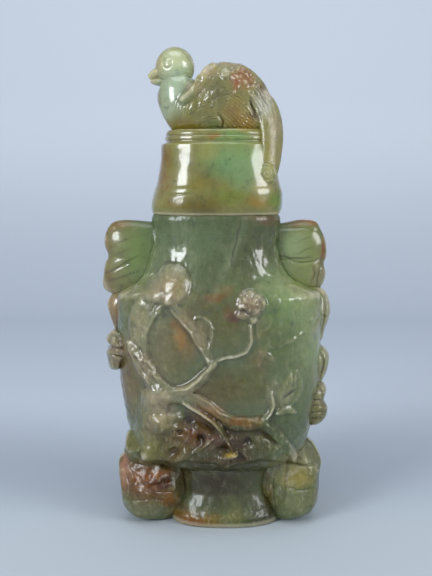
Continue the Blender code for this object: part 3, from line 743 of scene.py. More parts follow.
print("rocks from", min(LEFT_ROCK)[0], "to", max(RIGHT_ROCK)[0], "mm")

# %% Make the rocks and the side leaves
LEFT_CRACKS = (
    (((-31.5, 18.6), (-27.0, 20.1), (-22.4, 21.6)), 0.8, 1.4),
    (((-28, 16.8), (-24.8, 16.0), (-20.3, 14.9)), 0.4, 0.6),
    (((-43, 27), (-41.2, 22), (-39.4, 17.4)), 0.5, 0.7),
    (((-38, 12), (-31, 13.4), (-25, 12), (-22, 7)), 0.6, 0.9),
    (((-29.4, 31.4), (-25, 27.8), (-20, 25.4)), 0.9, 1.5),
)
CREST_CRACKS = ((((-37, 43), (-34, 38), (-35, 32), (-31, 28)), 0.6, 0.9),)
RIGHT_CRACKS = (
    (((27, 31.2), (31.2, 28.8), (33.8, 28.3), (37.5, 27.6), (44, 28.4)), 0.6, 1.2),
    (((24.4, 22), (24.2, 14), (25.4, 5)), 0.6, 1.1),
    (((25, 17.4), (30, 18.4), (36, 17.0), (44, 18)), 0.5, 0.7),
)
BUD_FOLDS = ((((-48, 102), (-48.4, 96), (-46.4, 88)), 0.4, 0.6),)
BLOSSOM_FOLDS = (
    (((-36, 80), (-42, 80), (-48, 80.6)), 0.5, 1.6), (((-40, 72), (-42, 76), (-47, 77)), 0.45, 1.2),
    (((-38, 84), (-42, 82.6), (-46, 86)), 0.4, 0.9),
)
FLANGE_FOLDS = (
    (((46.6, 103), (46.4, 96), (45, 86)), 0.5, 1.3), (((40, 100), (44, 95), (47.8, 93)), 0.4, 0.9),
    (((40, 92), (43.6, 88), (46.6, 87)), 0.4, 0.9),
)
LOBE_FOLDS = ((((42.4, 80), (45.8, 74), (44.4, 64)), 0.5, 1.2), (((40, 74), (42.4, 70), (42, 64)), 0.4, 0.8))
SHELL_FOLDS = (
    (((36, 55.6), (42, 56.4), (47, 55.4)), 0.45, 1.1), (((37, 52.4), (43, 54), (48, 53)), 0.35, 0.7),
    (((37.6, 49.6), (43, 51), (48, 50)), 0.35, 0.8), (((38.4, 47), (43, 48), (47.4, 47)), 0.35, 0.8),
    (((43, 63), (45.4, 60), (45.6, 57)), 0.4, 0.8),
)
side_pieces = [
    # name, outline, root, half thickness, grooves, columns, rows, forward, crumple, facets
    pillow("left rock", LEFT_ROCK, (-31, 17), 16.5, LEFT_CRACKS, 150, 62, -4.5, (0.26, 3.2), (13, 5)),
    pillow("left rock crest", LEFT_CREST, (-31.4, 35.4), 13.5, CREST_CRACKS, 110, 46, -6.5, (0.22, 3.6),
           (10, 7)),
    pillow("right rock", RIGHT_ROCK, (33, 18), 16, RIGHT_CRACKS, 150, 62, -4.5, (0.18, 4.2), (13, 16)),
    pillow("left bud", LEFT_BUD, (-43.4, 96), 5.6, BUD_FOLDS, 60, 26),
    pillow("left blossom", LEFT_BLOSSOM, (-42.6, 78), 9.0, BLOSSOM_FOLDS, 100, 38, -5, (0.9, 3.4)),
    pillow("right flange", RIGHT_FLANGE, (41.4, 92), 7.6, FLANGE_FOLDS, 80, 30, -3, (0.5, 5)),
    pillow("right lobe", RIGHT_LOBE, (41.6, 71.6), 7.4, LOBE_FOLDS, 76, 30, -3.4, (0.4, 6)),
    pillow("right shell", RIGHT_SHELL, (41.4, 54), 8.0, SHELL_FOLDS, 84, 34, -4, (0.3, 5)),
]
print(len(side_pieces), "rocks and side leaves")

# %% [markdown]
# ## The lid
# The lid is a drum with two thin rings turned below its top plate and a lip that flares over the vase's
# mouth. Its wall was ground by hand, so broad shallow dents catch the light. A plug below it drops into the
# mouth. A lathe would make it round, but it has to follow the vase's oval, so the same rings are used again.

# %% Turn the drum and its plug
lid_heights = np.concatenate([
    np.linspace(LID_FOOT, 152, 34, endpoint=False), np.linspace(152, 167, 26, endpoint=False),
    np.linspace(167, LID_TOP, 42)])
drum_ground = turned(LID_SECTIONS, lid_heights, 260, front_share=0.6)
x, y, z = np.moveaxis(drum_ground, -1, 0)
drum_relief = 0.2 * waves(drum_ground, 15, 31) + 0.1 * waves(drum_ground, 6, 32)
drum_relief += cut_groove(x, z, ((-23, 146.6), (-17, 146.8), (-11, 147.2)), 0.35, 0.35) * (y < 0)
drum = form("lid_stone", drum_ground + outward(drum_ground) * drum_relief[..., None])

PLUG_FOOT, PLUG_TOP = 133.5, 139.5
PLUG_SECTIONS = ((PLUG_FOOT, 20.2, 12.2, -1.9), (134.3, 21.0, 13.0, -1.9), (PLUG_TOP, 21.0, 13.0, -1.9))
plug = form("plug", turned(PLUG_SECTIONS, np.linspace(PLUG_FOOT, PLUG_TOP, 9), 90))
print("the plug drops", round(MOUTH - PLUG_FOOT, 1), "mm into the mouth")

# %% [markdown]
# ## The bird
# The bird crouches with its round head turned to the left. Its back rises behind the neck and rolls down into
# a long tail over the lid's right side. Its feathers are cut on each flank: a rounded wing edge, rows of
# short feathers and long ones that sweep back and down. They are heights on a plain body, as on the stone,
# because separate feathers would look stuck on.

# %% The bird's sections and its feathers
BREAST, RUMP = -27.0, 26.9
BODY_SECTIONS = (
    # x, lowest z, highest z, half depth
    (BREAST, 186.4, 190.4, 1.6), (-26.2, 184.0, 192.2, 3.6), (-24.6, 180.4, 195.6, 6.2),
    (-20.6, 174.4, 199.0, 8.8), (-15.6, 171.6, 199.0, 10.0), (-12.6, 171.5, 196.4, 10.6),
    (-10.4, 171.4, 195.8, 10.9), (-8.2, 171.4, 197.0, 11.2), (-5.0, 171.4, 200.4, 11.6),
    (1.0, 171.4, 203.2, 12.0), (8.0, 171.4, 202.6, 11.8), (14.0, 171.0, 199.6, 10.8),
    (18.6, 170.0, 195.2, 9.6), (22.0, 168.0, 188.2, 8.0), (24.6, 165.0, 180.4, 6.0),
    (26.4, 162.0, 172.0, 3.4), (RUMP, 164.0, 169.0, 1.4),
)


def feather_lines(x, z, centre, radii, heading, spacing, depth, bend=0.0):
    """Fine parallel cuts in an egg-shaped patch, at a heading in degrees: the depth follows
    |cos(pi across / spacing)|^4. They curve by bend * along^2, and the patch fades at its edge."""
    cosine, sine = math.cos(math.radians(heading)), math.sin(math.radians(heading))
    along = (x - centre[0]) * cosine + (z - centre[1]) * sine
    across = (z - centre[1]) * cosine - (x - centre[0]) * sine + bend * along**2
    patch = easing(1 - np.hypot((x - centre[0]) / radii[0], (z - centre[1]) / radii[1]), 0, 0.35)
    return -depth * patch * np.abs(np.cos(math.pi * across / spacing)) ** 4


PLUMAGE = (
    # middle of the patch, its radii, heading, spacing, depth, bend
    ((-11.6, 191.4), (6.4, 5.2), 48, 1.2, 0.34, 0.03), ((-1.0, 190.6), (8.0, 8.6), -6, 1.3, 0.30, 0.02),
    ((-6.0, 181.4), (8.6, 6.6), 18, 1.2, 0.30, 0.025), ((6.4, 182.0), (8.6, 9.0), -42, 1.3, 0.40, 0.02),
    ((18.6, 186.0), (7.6, 10.6), -58, 1.3, 0.50, 0.01), ((12.0, 176.4), (8.0, 6.0), -30, 1.25, 0.40, 0.02),
    ((12.4, 199.6), (9.0, 4.4), -28, 1.3, 0.36, 0.01), ((-15.6, 183.6), (4.4, 5.4), 70, 1.3, 0.16, 0.03),
)


def carve_bird(x, z):
    """The wing's edge, the shoulder's ball and the long feathers as a soft maximum, plus rough down on the
    back, the feather lines of every patch and two grooves."""
    height = topmost([
        cut_branch(x, z, ((-15.6, 186.8), (-11.6, 189.8), (-8.2, 193.6), (-5.0, 197.6), (-2.4, 200.4)),
                   (2.2, 3.0, 3.2, 2.8, 2.4), 2.2, ((0.2, 0.7),)),
        cut_dome(x, z, (2.4, 197.6), (2.7, 2.7), 1.3),
        cut_dome(x, z, (-9.0, 183.4), (4.4, 3.4), 0.7, 20),
        cut_leaf(x, z, ((-6, 185), (1, 188.4), (9, 187), (15.4, 181)), 6.0, 0.8, veins=0),
        cut_leaf(x, z, ((4, 197), (10, 196), (15, 190)), 4.4, 1.1, veins=4),
        cut_leaf(x, z, ((12, 190), (18, 187), (23, 178)), 4.6, 1.3, veins=0),
    ], 0.5)
    rough = easing(1 - np.hypot((x - 9) / 8.5, (z - 194) / 7.5), 0, 0.4)
    height += rough * 0.5 * waves(on_face(x, z), 2.6, 45)
    height += sum(feather_lines(x, z, *patch) for patch in PLUMAGE)
    height += cut_groove(x, z, ((12.8, 186.4), (14.4, 182.6), (15.8, 179.0)), 0.6, 1.4)
    height += cut_groove(x, z, ((-0.6, 180.4), (1.4, 177.6), (0.6, 174.6), (-1.4, 175.4)), 0.5, 1.1)
    return height


measure("the bird's plumage", carve_bird, 172, 204)

# %% [markdown]
# ## The bird's body
# Upright oval sections are carried along the bird from breast to rump, closer together at both ends, where
# the form turns fast. The feathers are then added along the normal.

# %% Carve the bird's body
def along_x(sections, places, columns):
    """A grid of upright ovals |y/a|^p + |z/b|^p = 1 at each x, from a table of lowest, highest and half
    depth."""
    low, high, half_depth = steady(sections, places).T
    ring_x, ring_y = unit_ring(columns, 0.5)
    y = half_depth[:, None] * ring_x
    z = (high + low)[:, None] / 2 + (high - low)[:, None] / 2 * ring_y
    return np.stack([np.broadcast_to(places[:, None], y.shape), y, z], axis=-1)


places = BREAST + (RUMP - BREAST) * (1 - np.cos(np.linspace(0, math.pi, 214))) / 2
body_ground = along_x(BODY_SECTIONS, places, 216)
facing = outward(body_ground)
inward = (facing[100] * (body_ground[100] - body_ground[100].mean(axis=0))).sum() < 0
facing = -facing if inward else facing
flank = easing(np.abs(body_ground[..., 1]), 1.0, 4.0)
feathers = carve_bird(body_ground[..., 0], body_ground[..., 2]) * flank
plumed = easing(body_ground[..., 0], -15, -9)
feathers += plumed * (0.2 * waves(body_ground, 7, 41) + 0.2 * waves(body_ground, 2.8, 42))
bird_body = form("bird body", body_ground + facing * feathers[..., None])
print("the bird is", round(RUMP - BREAST, 1), "mm long without its tail")

# %% [markdown]
# ## Head, bill and tail
# The head is a plain round ball, as on many jade birds. Its eye is a bead in a raised ring, and its bill is
# short and thick. They could be pulled out of the body's mesh, but closed forms that overlap are simpler and
# are joined later.

# %% Forms for the head, the bill and the tail
def ball(rows, columns):
    """Directions all over a ball, shape (rows, columns, 3), from its upper pole to its lower one."""
    down = np.linspace(0.02, math.pi - 0.02, rows)[:, None]
    about = np.linspace(0, 2 * math.pi, columns, endpoint=False)[None, :]
    wide = np.sin(down)
    return np.stack([wide * np.cos(about), wide * np.sin(about), np.cos(down) + 0 * about], axis=-1)


def carried(name, path, half_widths, half_heights, out, rib=None, rows=60, columns=48):
    """An oval section carried along a path: one half size lies across it and one stands along the out
    direction."""
    line = stroke(path, rows)
    heading = np.gradient(line, axis=0)
    heading /= np.linalg.norm(heading, axis=1)[:, None]
    across = np.cross(heading, out)
    across /= np.linalg.norm(across, axis=1)[:, None]
    up = np.cross(across, heading)
    share = np.linspace(0, 1, rows)
    wide = np.interp(share, np.linspace(0, 1, len(half_widths)), half_widths)[:, None, None]
    high = np.interp(share, np.linspace(0, 1, len(half_heights)), half_heights)[:, None, None]
    angle = np.linspace(0, 2 * math.pi, columns, endpoint=False)[None, :, None]
    scale = 1 if rib is None else rib(share[:, None], angle[..., 0])[..., None]
    return form(name, line[:, None] + scale * (np.cos(angle) * across[:, None] * wide
                                               + np.sin(angle) * up[:, None] * high))


def tail_rib(share, angle):
    """Long feathers at the top, |sin 7a|^3 round the section, give way on the way down to slanting ribs,
    |sin(34 pi t + 13 a)|^3, which are deepest on the outer side."""
    low = easing(share, 0.25, 0.5)
    ribs = np.abs(np.sin(34 * math.pi * share + 13 * angle)) ** 3 * np.cos(angle / 2 - 0.95) ** 4
    return 1 - 0.11 * ((1 - low) * np.abs(np.sin(7 * angle)) ** 3 + low * ribs)


deepest = 1 - float(tail_rib(np.linspace(0, 1, 999), 1.9).min())
print("the ribs cut in by", round(deepest, 3), "of the tail's half width")

# %% Make the head and the bill
HEAD_PLACE, HEAD_SIZE = (-19.4, 0, 201.2), (8.5, 7.8, 8.8)
EYE_X, EYE_Z = -22.4, 202.4


def carve_head():
    """An ellipsoid with an eye on each side. By the distance r from the eye, there is a bead sqrt(1 -
    (r/0.8)^2), a ring that is a bell round r = 1.25 and a valley that is a bell round r = 2.2."""
    direction = ball(80, 110)
    points = direction * HEAD_SIZE + HEAD_PLACE
    r = np.hypot((points[..., 0] - EYE_X) / 0.85, (points[..., 2] - EYE_Z) / 1.1)
    face = 0.34 * np.exp(-(((r - 1.25) / 0.4) ** 2)) + 0.4 * np.sqrt(np.clip(1 - (r / 0.8) ** 2, 0, 1))
    face -= 0.2 * np.exp(-(((r - 2.2) / 0.5) ** 2))
    face *= easing(np.abs(points[..., 1]), 2, 4)
    face += 0.06 * waves(direction * 8, 7, 43)
    return form("head", points + direction * face[..., None])


head = carve_head()
UPPER_BILL = ((-20, 0, 200.0), (-25.2, 0, 199.6), (-28.4, 0, 198.6), (-30.9, 0, 196.9))
LOWER_BILL = ((-20, 0, 196.2), (-24.6, 0, 195.4), (-27.4, 0, 195.2), (-29.9, 0, 195.6))
bill = carried("bill", UPPER_BILL, (4.2, 4.2, 3.6, 1.6), (3.2, 2.6, 2.1, 1.1), (0, 0, 1), rows=40)
lower_bill = carried("lower bill", LOWER_BILL, (4.2, 4.0, 3.4, 1.6), (2.8, 2.4, 1.9, 1.0), (0, 0, 1), rows=36)
print("the bill ends at", UPPER_BILL[-1][0], "mm")

# %% [markdown]
# ## The tail
# The tail is a band carried along a path down the drum, ribbed across like overlapping feathers. It ends in a
# curl: a small pillow with a spiral groove.

# %% Make the tail and its curl
TAIL_PATH = ((14, -4, 192), (20.0, -6, 184), (22.2, -7.6, 174), (22.0, -9.2, 164), (20.8, -11.2, 154))
tail = carried("tail", TAIL_PATH, (2.0, 5.2, 6.2, 6.0, 5.4, 4.4), (2.8, 3.4, 3.4, 3.2, 2.8, 2.2),
               (0.62, -0.78, 0), tail_rib, rows=190, columns=90)
CURL_X, CURL_Z = 20.0, 155.4
curl_turn = np.linspace(0.3, 4.6 * math.pi, 26)
curl_radius = np.linspace(4.6, 0.4, 26)
curl_x = CURL_X + curl_radius * np.cos(curl_turn)
curl_z = CURL_Z - curl_radius * np.sin(curl_turn)
curl_cut = (np.stack([curl_x, curl_z], axis=1), 0.42, 0.5)
around = np.linspace(0, 2 * math.pi, 9)[:-1]
curl_edge = [(CURL_X + 4.7 * math.cos(turn), CURL_Z + 5.0 * math.sin(turn)) for turn in around]
tail_curl = pillow("tail curl", curl_edge, (CURL_X, CURL_Z), 3.4, (curl_cut,), 90, 46, -12.4, (0.12, 5))
print("the curl winds", round(float(np.ptp(curl_turn)) / (2 * math.pi), 1), "times")

# %% [markdown]
# ## One stone, not many
# Everything above is carved out of one block, so the overlapping forms are joined with Booleans and the
# inside is then cut out. Overlapping shells would look the same from outside, but light that enters the stone
# would meet their hidden walls. The Manifold solver joins them quickly and leaves a closed skin.

# %% Join the pieces of each stone and hollow it
SHARP_FROM = 50


def join(core, others, operation="UNION"):
    """The core's mesh after a Boolean with each of the others in turn. The others are then removed."""
    for number, other in enumerate(others):
        boolean = core.modifiers.new(f"join {number}", "BOOLEAN")
        boolean.operation = operation
        boolean.solver = "MANIFOLD"
        boolean.object = other
    graph = bpy.context.evaluated_depsgraph_get()
    joined = bpy.data.meshes.new_from_object(core.evaluated_get(graph))
    core.modifiers.clear()
    core.data = joined
    for other in others:
        bpy.data.objects.remove(other, do_unlink=True)


vase_hollow = form("vase hollow", turned(HOLLOW_SECTIONS, np.linspace(39, 140, 44), 72))
lid_hollow = form("lid hollow", turned(LID_HOLLOW_SECTIONS, np.linspace(131, 161, 30), 80))
join(vase, [left_handle, right_handle, *side_pieces])
join(vase, [vase_hollow], "DIFFERENCE")
join(drum, [plug, bird_body, head, bill, lower_bill, tail, tail_curl])
join(drum, [lid_hollow], "DIFFERENCE")
for piece in (vase, drum):
    piece.data.shade_smooth()
    piece.data.set_sharp_from_angle(angle=math.radians(SHARP_FROM))
    piece.data.calc_loop_triangles()
    print(piece.name, "has", len(piece.data.loop_triangles), "triangles")

# %% [markdown]
# ## Reading the carving back
# Polished stone looks paler where it is thin. Here the edges of the carving are painted paler, as painted
# highlights where they would catch the light, and its crevices darker brown, as painted shade. Each point's
# place against the mean of its neighbours says which it is. The height above the plain outline tells raised
# carving from ground. The renderer has its own measure of edges, but that follows the size of the faces, and
# one worked out here can be smoothed.

# %% Read a mesh
def read_mesh(mesh):
    """The points in mm, the normals and the two ends of each edge, as arrays."""
    points = np.empty(len(mesh.vertices) * 3)
    mesh.vertices.foreach_get("co", points)
    normals = np.empty(len(mesh.vertices) * 3)
    mesh.vertex_normals.foreach_get("vector", normals)
    ends = np.empty(len(mesh.edges) * 2, int)
    mesh.edges.foreach_get("vertices", ends)
    return points.reshape(-1, 3) / MM, normals.reshape(-1, 3), ends.reshape(-1, 2)


def neighbour_mean(values, ends, rounds):
    """Values averaged half and half with the mean of their neighbours, round after round."""
    a, b = ends.T
    count = len(values)
    degree = np.maximum(np.bincount(ends.ravel(), minlength=count), 1)
    for _ in range(rounds):
        totals = [np.bincount(a, column[b], count) + np.bincount(b, column[a], count) for column in values.T]
        values = (values + np.stack(totals, axis=1) / degree[:, None]) / 2
    return values


def store(mesh, name, values):
    """Keeps one number for each point as a named attribute of the mesh."""
    layer = mesh.attributes.new(name, "FLOAT", "POINT")
    layer.data.foreach_set("value", np.asarray(values, np.float32))


def against_outline(points, sections):
    """Two readings against the plain outline: how far across each point lies, as a share of the half width,
    and its height in mm, which is the superellipse radius minus one, times the local half size."""
    half_width, half_depth, shift = steady(sections, np.clip(points[:, 2], sections[0][0], sections[-1][0])).T
    across, deep = np.abs(points[:, 0] - shift) / half_width, np.abs(points[:, 1]) / half_depth
    radius = (across**SQUARENESS + deep**SQUARENESS) ** (1 / SQUARENESS)
    height = (radius - 1) * np.hypot(points[:, 0] - shift, points[:, 1]) / np.maximum(radius, 1e-6)
    return across, height


print("the vase has", len(vase.data.vertices), "points to read and the lid", len(drum.data.vertices))

# %% [markdown]
# ## Crests, relief and polish
# The carving was too fine to polish as bright as the ground, so a third value says how bright each place is.
# All three are stored on the mesh as attributes, which the material reads.

# %% Store crests, relief and polish as attributes
SATIN_LOSS, DULL_LOSS = 0.22, 0.44


def above_plate(points):
    """Zero on the drum and one on the bird, with a smooth step just over the lid's top plate."""
    return easing(points[:, 2], LID_TOP + 0.1, LID_TOP + 1.5)


def finish_of_vase(points, crest, raised, reach):
    """Crest, relief and polish. Crests, which carry the painted highlights and painted shade, fade at the
    mouth, at the foot and in the broken rock, and the corner of each shoulder is one, so it gets a painted
    highlight line. Raised carving is satin, while boulders, rock and both ends of the vase are dull."""
    x, y, z = points.T
    in_rock = easing(z, 24, 30) * easing(56 - z, 0, 6) * (np.abs(x) < 30)
    crest = crest * (1 - easing(z, 127, 131)) * (0.3 + 0.7 * easing(z, 5, 10))
    crest = np.where(crest > 0, crest * (1 - 0.6 * in_rock), crest)
    shoulder = easing(z, 100, 104) * easing(130 - z, 0, 8) * (y < 0)
    # the corner of each shoulder is made a crest: a painted highlight line
    crest += 1.6 * shoulder * np.exp(-(((reach - 0.965) / 0.012) ** 2))
    boulder = easing(raised, 4, 8) * easing(52 - z, 0, 6)
    ends_of_vase = easing(26 - z, 0, 4) + easing(z, 128, 133)
    dull = np.maximum(np.maximum(boulder, ends_of_vase), 0.8 * in_rock)
    satin = np.maximum(easing(raised, 0.5, 2.4), dull)
    raised = raised * (1 - easing(reach, 0.93, 1.05) * easing(z, 100, 107))
    return crest, np.maximum(raised, 2.2 * easing(11 - z, 0, 3)), 1 - SATIN_LOSS * satin - DULL_LOSS * dull


def finish_of_lid(points, crest, raised, reach):
    """Crest, relief and polish. Crests, which carry the painted highlights and painted shade, are stronger on
    the bird. The bird behind its breast and the tail are satin, and they alone count as raised."""
    x = points[:, 0]
    satin = np.maximum(above_plate(points) * easing(x, -16, -6), easing(raised, 0.8, 2.0) * easing(x, 8, 12))
    return crest * (1 + 0.4 * above_plate(points)), 1.3 * satin, 1 - SATIN_LOSS * satin


for piece, sections, finish in ((vase, VASE_SECTIONS, finish_of_vase), (drum, LID_SECTIONS, finish_of_lid)):
    points, normals, ends = read_mesh(piece.data)
    fine = ((points - neighbour_mean(points, ends, 8)) * normals).sum(axis=1)
    broad = ((points - neighbour_mean(points, ends, 50)) * normals).sum(axis=1)
    crest = neighbour_mean(np.stack([fine * 3 + broad], axis=1), ends, 2)[:, 0]
    reach, height = against_outline(points, sections)
    crest, raised, polish = finish(points, crest, height, reach)
    store(piece.data, "crest", crest)
    store(piece.data, "polish", polish)
    store(piece.data, "relief", raised)
    print(piece.name, "crests from", round(float(crest.min()), 2), "to", round(float(crest.max()), 2))

# %% [markdown]
# ## What fluorite gives the eye
# Fluorite is a soft, glassy mineral (its IOR is 1.434, low for a stone). It is cut wet and polished with fine
# powder, so its skin is like clean glass over a cloudy inside. Green, olive and blue-green bands run through
# it with honey and rust stains, pale veils and black specks. Its colours are written as sRGB hex, as a
# painter would mix them, and one function turns them into the linear values that light is reckoned in.

# %% A colour as linear light
def linear(colour):
    """An sRGB hex colour as linear RGBA: c/12.92 below 0.04045, else ((c + 0.055)/1.055)^2.4."""
    channels = [int(colour[i:i + 2], 16) / 255 for i in (0, 2, 4)]
    return (*[c / 12.92 if c <= 0.04045 else ((c + 0.055) / 1.055) ** 2.4 for c in channels], 1)


print("a mid green as linear light:", [round(channel, 3) for channel in linear("66755a")[:3]])

# %% [markdown]
# ## The colour zones
# The bands and clouds of colour run right through the block. Each zone is an egg-shaped cloud: a middle,
# three radii and a colour that fades out towards its edge. Their outlines are stirred with waves, so none
# looks like an egg. Noise alone could colour the stone, but each stain of this one has its own place. A few
# zones paint shade in holes, grooves and under the rock band, and a few paint highlights on the rocks and a
# leaf tip; each is marked where it stands.

# %% The zones of the vase
VASE_GROUND = "66755a"
VASE_ZONES = (
    # middle (x, y, z), radii (x, y, z) in mm, colour, strength
    # the neck
    ((-12, 0, 127), (24, 60, 16), "6a8264", 0.92), ((15, 0, 126), (15, 60, 20), "4a5a36", 0.95),
    ((0, 0, 136), (34, 60, 4), "54694c", 0.8), ((18, -10, 137), (10, 40, 3), "6e5236", 0.7),
    ((-21, 0, 117), (14, 60, 14), "74886e", 0.8), ((-2, 0, 112), (10, 60, 12), "54684a", 0.7),
    # the shoulders and the right side
    ((29, 0, 103), (18, 60, 16), "90b082", 0.9), ((40, 0, 84), (15, 60, 24), "9eb48e", 0.85),
    ((24, 0, 84), (13, 60, 16), "637a48", 0.8), ((9, 0, 108), (9, 60, 9), "5c7048", 0.7),
    ((32, 0, 63), (12, 60, 16), "748a60", 0.8), ((22, -20, 100), (5, 20, 10), "5f8050", 0.6),
    # the middle
    ((2, 0, 92), (13, 60, 13), "6a6a38", 0.8), ((16, 0, 90), (8, 60, 6), "68703c", 0.7),
    ((-3, -24, 103), (5, 14, 2.6), "8a5c34", 0.75), ((1.5, -24, 106.5), (5, 14, 4), "86764a", 0.6),
    ((-8, -24, 101), (7, 14, 6), "6c6648", 0.6), ((4, -24, 97), (3, 14, 4), "7a4c38", 0.5),
    # inside the loop
    ((-21, 0, 80), (12, 40, 19), "766a38", 0.94), ((-13, -20, 84), (6, 20, 9), "86724a", 0.7),
    ((-25, -20, 84), (5, 20, 11), "7c7a5c", 0.8), ((-17.5, -24, 92), (5, 14, 4.5), "94703e", 0.7),
    ((-16.4, -24, 86.6), (3.6, 14, 4), "b48e54", 0.75), ((-23.5, -26, 96), (1.6, 8, 1.2), "281c12", 0.8),
    # the peach, the leaf and the branches beside it
    ((-20.5, -28, 109), (8.5, 14, 9), "a89876", 0.75), ((-28, -26, 107), (5, 14, 7), "a09c84", 0.7),
    ((-24, -28, 103), (7, 10, 3), "94867a", 0.6), ((-33.4, -22, 93), (4.6, 16, 11), "a8a88a", 0.75),
    ((-37.5, 0, 82), (5, 60, 14), "8c8a70", 0.7), ((-31, -20, 73), (5, 20, 8), "86785e", 0.7),
    ((-8, -26, 88), (5, 12, 9), "8e876e", 0.6), ((-14, -26, 95), (5, 12, 6), "7c6e50", 0.7),
    ((-40, 0, 64), (9, 60, 18), "7a6848", 0.85), ((-26, -24, 60), (8, 16, 5.5), "b8ae9c", 0.8),
    ((-25, -24, 53), (8, 16, 8), "b4ac98", 0.8), ((-30, -22, 45), (6, 16, 9), "968e78", 0.8),
    ((-13, -27, 64.5), (7, 10, 3), "a29c84", 0.6),
    # the blossom and its leaves
    # the near-black zone in the blossom's groove is painted shade
    ((12.6, -28, 101), (7, 12, 6.4), "8c6e56", 0.85), ((10.6, -30, 98.2), (3.0, 8, 1.3), "2c1c18", 0.7),
    ((17.9, -30, 103.2), (1.6, 8, 1.6), "5a3c50", 0.6), ((6.4, -28, 95.4), (3, 10, 3), "6e4038", 0.7),
    ((17, -28, 77), (5, 10, 5), "7c6446", 0.6), ((25, -24, 61), (6, 16, 9), "8c9478", 0.6),
    # the oval of bare stone
    ((3, 0, 65), (19, 60, 11), "645a24", 0.97), ((14, -10, 68), (9, 40, 12), "646a34", 0.8),
    ((-7, -20, 60), (8, 20, 6), "6e5e36", 0.7), ((0, -20, 73), (10, 20, 4), "5c6236", 0.6),
    # straps and broken rock
    ((-5, -26, 54), (8, 16, 5), "a07c58", 0.8), ((-10, -26, 45), (12, 24, 9), "62452a", 0.97),
    ((6, -26, 41), (15, 24, 9), "46321e", 0.97), ((18, -22, 42), (9, 24, 9), "50502e", 0.8),
    # the dark zone at z 28.2 is painted shade under the rock band's overhang
    ((0, -22, 33), (26, 20, 4.6), "4c381e", 0.95), ((0, 0, 28.2), (38, 40, 4.4), "30220f", 0.95),
    ((-14, -28, 45), (5, 12, 6), "7c542c", 0.8), ((-2.5, -28, 43), (4.5, 12, 5), "74584c", 0.75),
    ((8, -28, 51), (9, 12, 2.6), "8c6030", 0.8), ((14, -28, 50), (5, 12, 3), "847044", 0.7),
    # the four near-black zones at the rock's holes are painted shade in their depths
    ((-12.2, -30, 50.8), (3.6, 12, 4), "2a1a16", 0.9), ((-8.2, -30, 44.4), (2, 12, 3), "1c1210", 0.9),
    ((11.8, -30, 42), (2.4, 12, 2.8), "2a2018", 0.85), ((7.6, -31, 34.4), (3.6, 12, 1.9), "14100c", 0.95),
    # the pale yellow zone on the small leaf tip is partly its own colour and partly a painted highlight
    ((4.6, -32, 36.6), (3.4, 9, 1.6), "d8c47c", 0.85), ((-20, -24, 40), (9, 20, 12), "68542e", 0.9),
    # the handles
    ((-44, 0, 116), (14, 60, 24), "8c906c", 0.9), ((-36, 0, 120), (9, 60, 15), "7e9868", 0.8),
    ((-51, 0, 125), (5, 60, 10), "8a7c60", 0.8), ((-51, 0, 109), (5.6, 60, 9), "7e6e56", 0.85),
    ((-46, 0, 134), (8, 60, 4), "947c58", 0.7), ((38, 0, 118), (14, 60, 22), "8c966c", 0.9),
    ((32, 0, 124), (8, 60, 9), "9cb094", 0.8), ((38, 0, 135), (16, 60, 3), "80684a", 0.8),
    ((49, 0, 124), (4, 60, 10), "98826c", 0.8), ((45, 0, 110), (5, 60, 9), "8a8470", 0.8),
    # buds, pods and lobes at the sides
    ((-48, -4, 97), (6, 20, 8), "96744a", 0.8), ((-47, -4, 90), (4, 20, 4), "6a3826", 0.7),
    ((-45, -6, 80), (9, 20, 7), "8c7c6c", 0.85), ((-43, -4, 72), (7, 20, 6), "7a6648", 0.7),
    ((44, -4, 92), (7, 20, 14), "a2a894", 0.8), ((44, -4, 68), (7, 20, 10), "989a84", 0.75),
    ((44, -4, 52), (8, 20, 12), "7c7040", 0.7),
    # the rocks
    # the pale yellow-green spot on the rock's crest is partly its own colour and partly a painted sheen
    ((-36, 0, 38), (11, 40, 9), "7a7a4c", 0.9), ((-29, -16, 36), (7, 20, 7), "98965c", 0.5),
    ((-32, 0, 20), (16, 40, 13), "744624", 0.98), ((-31, -16, 24), (10, 20, 3.6), "a4682e", 0.85),
    ((-26, -18, 19.6), (7, 16, 3), "4c2018", 0.85), ((-22.4, -14, 12), (5, 20, 6), "845828", 0.85),
    # the pale pink strip down the left rock's left edge is partly the rock's own pink and partly a painted
    # highlight
    ((-42.6, -12, 25), (3.4, 20, 9), "c09a8c", 0.85), ((-35, -8, 7), (11, 30, 5.4), "84866a", 0.92),
    # the dark zone where the left rock meets its crest is painted shade in the hollow between them
    ((-24, -16, 29), (8, 16, 4), "3c3a20", 0.9), ((33, 0, 30), (15, 40, 8), "98967a", 0.9),
    ((34, -12, 22), (9, 20, 5.4), "a0965a", 0.8), ((34, 0, 12), (16, 40, 9), "8b9174", 0.92),
    ((22, -12, 15), (3.4, 20, 14), "5c5426", 0.85), ((45, 0, 18), (3.6, 40, 14), "7c7c80", 0.7),
    # the foot
    ((0, 0, 20), (22, 40, 11), "3e3226", 0.98), ((-16, -8, 20), (5, 30, 10), "524a30", 0.8),
    ((2, 0, 11), (18, 40, 4), "484c34", 0.7), ((-14, 0, 3.4), (11, 40, 4.6), "966c34", 0.9),
    ((-18, -10, 8), (6, 30, 2.6), "70644c", 0.7), ((-9, -16, 2), (8, 12, 3), "8e5c22", 0.8),
    ((-3, 0, 3.4), (7, 40, 4.6), "948248", 0.85), ((7, 0, 5), (7, 40, 5), "868656", 0.8),
    ((19, 0, 5), (9, 40, 7), "3c3e2c", 0.9),
)
print(len(VASE_ZONES), "zones of colour in the vase")
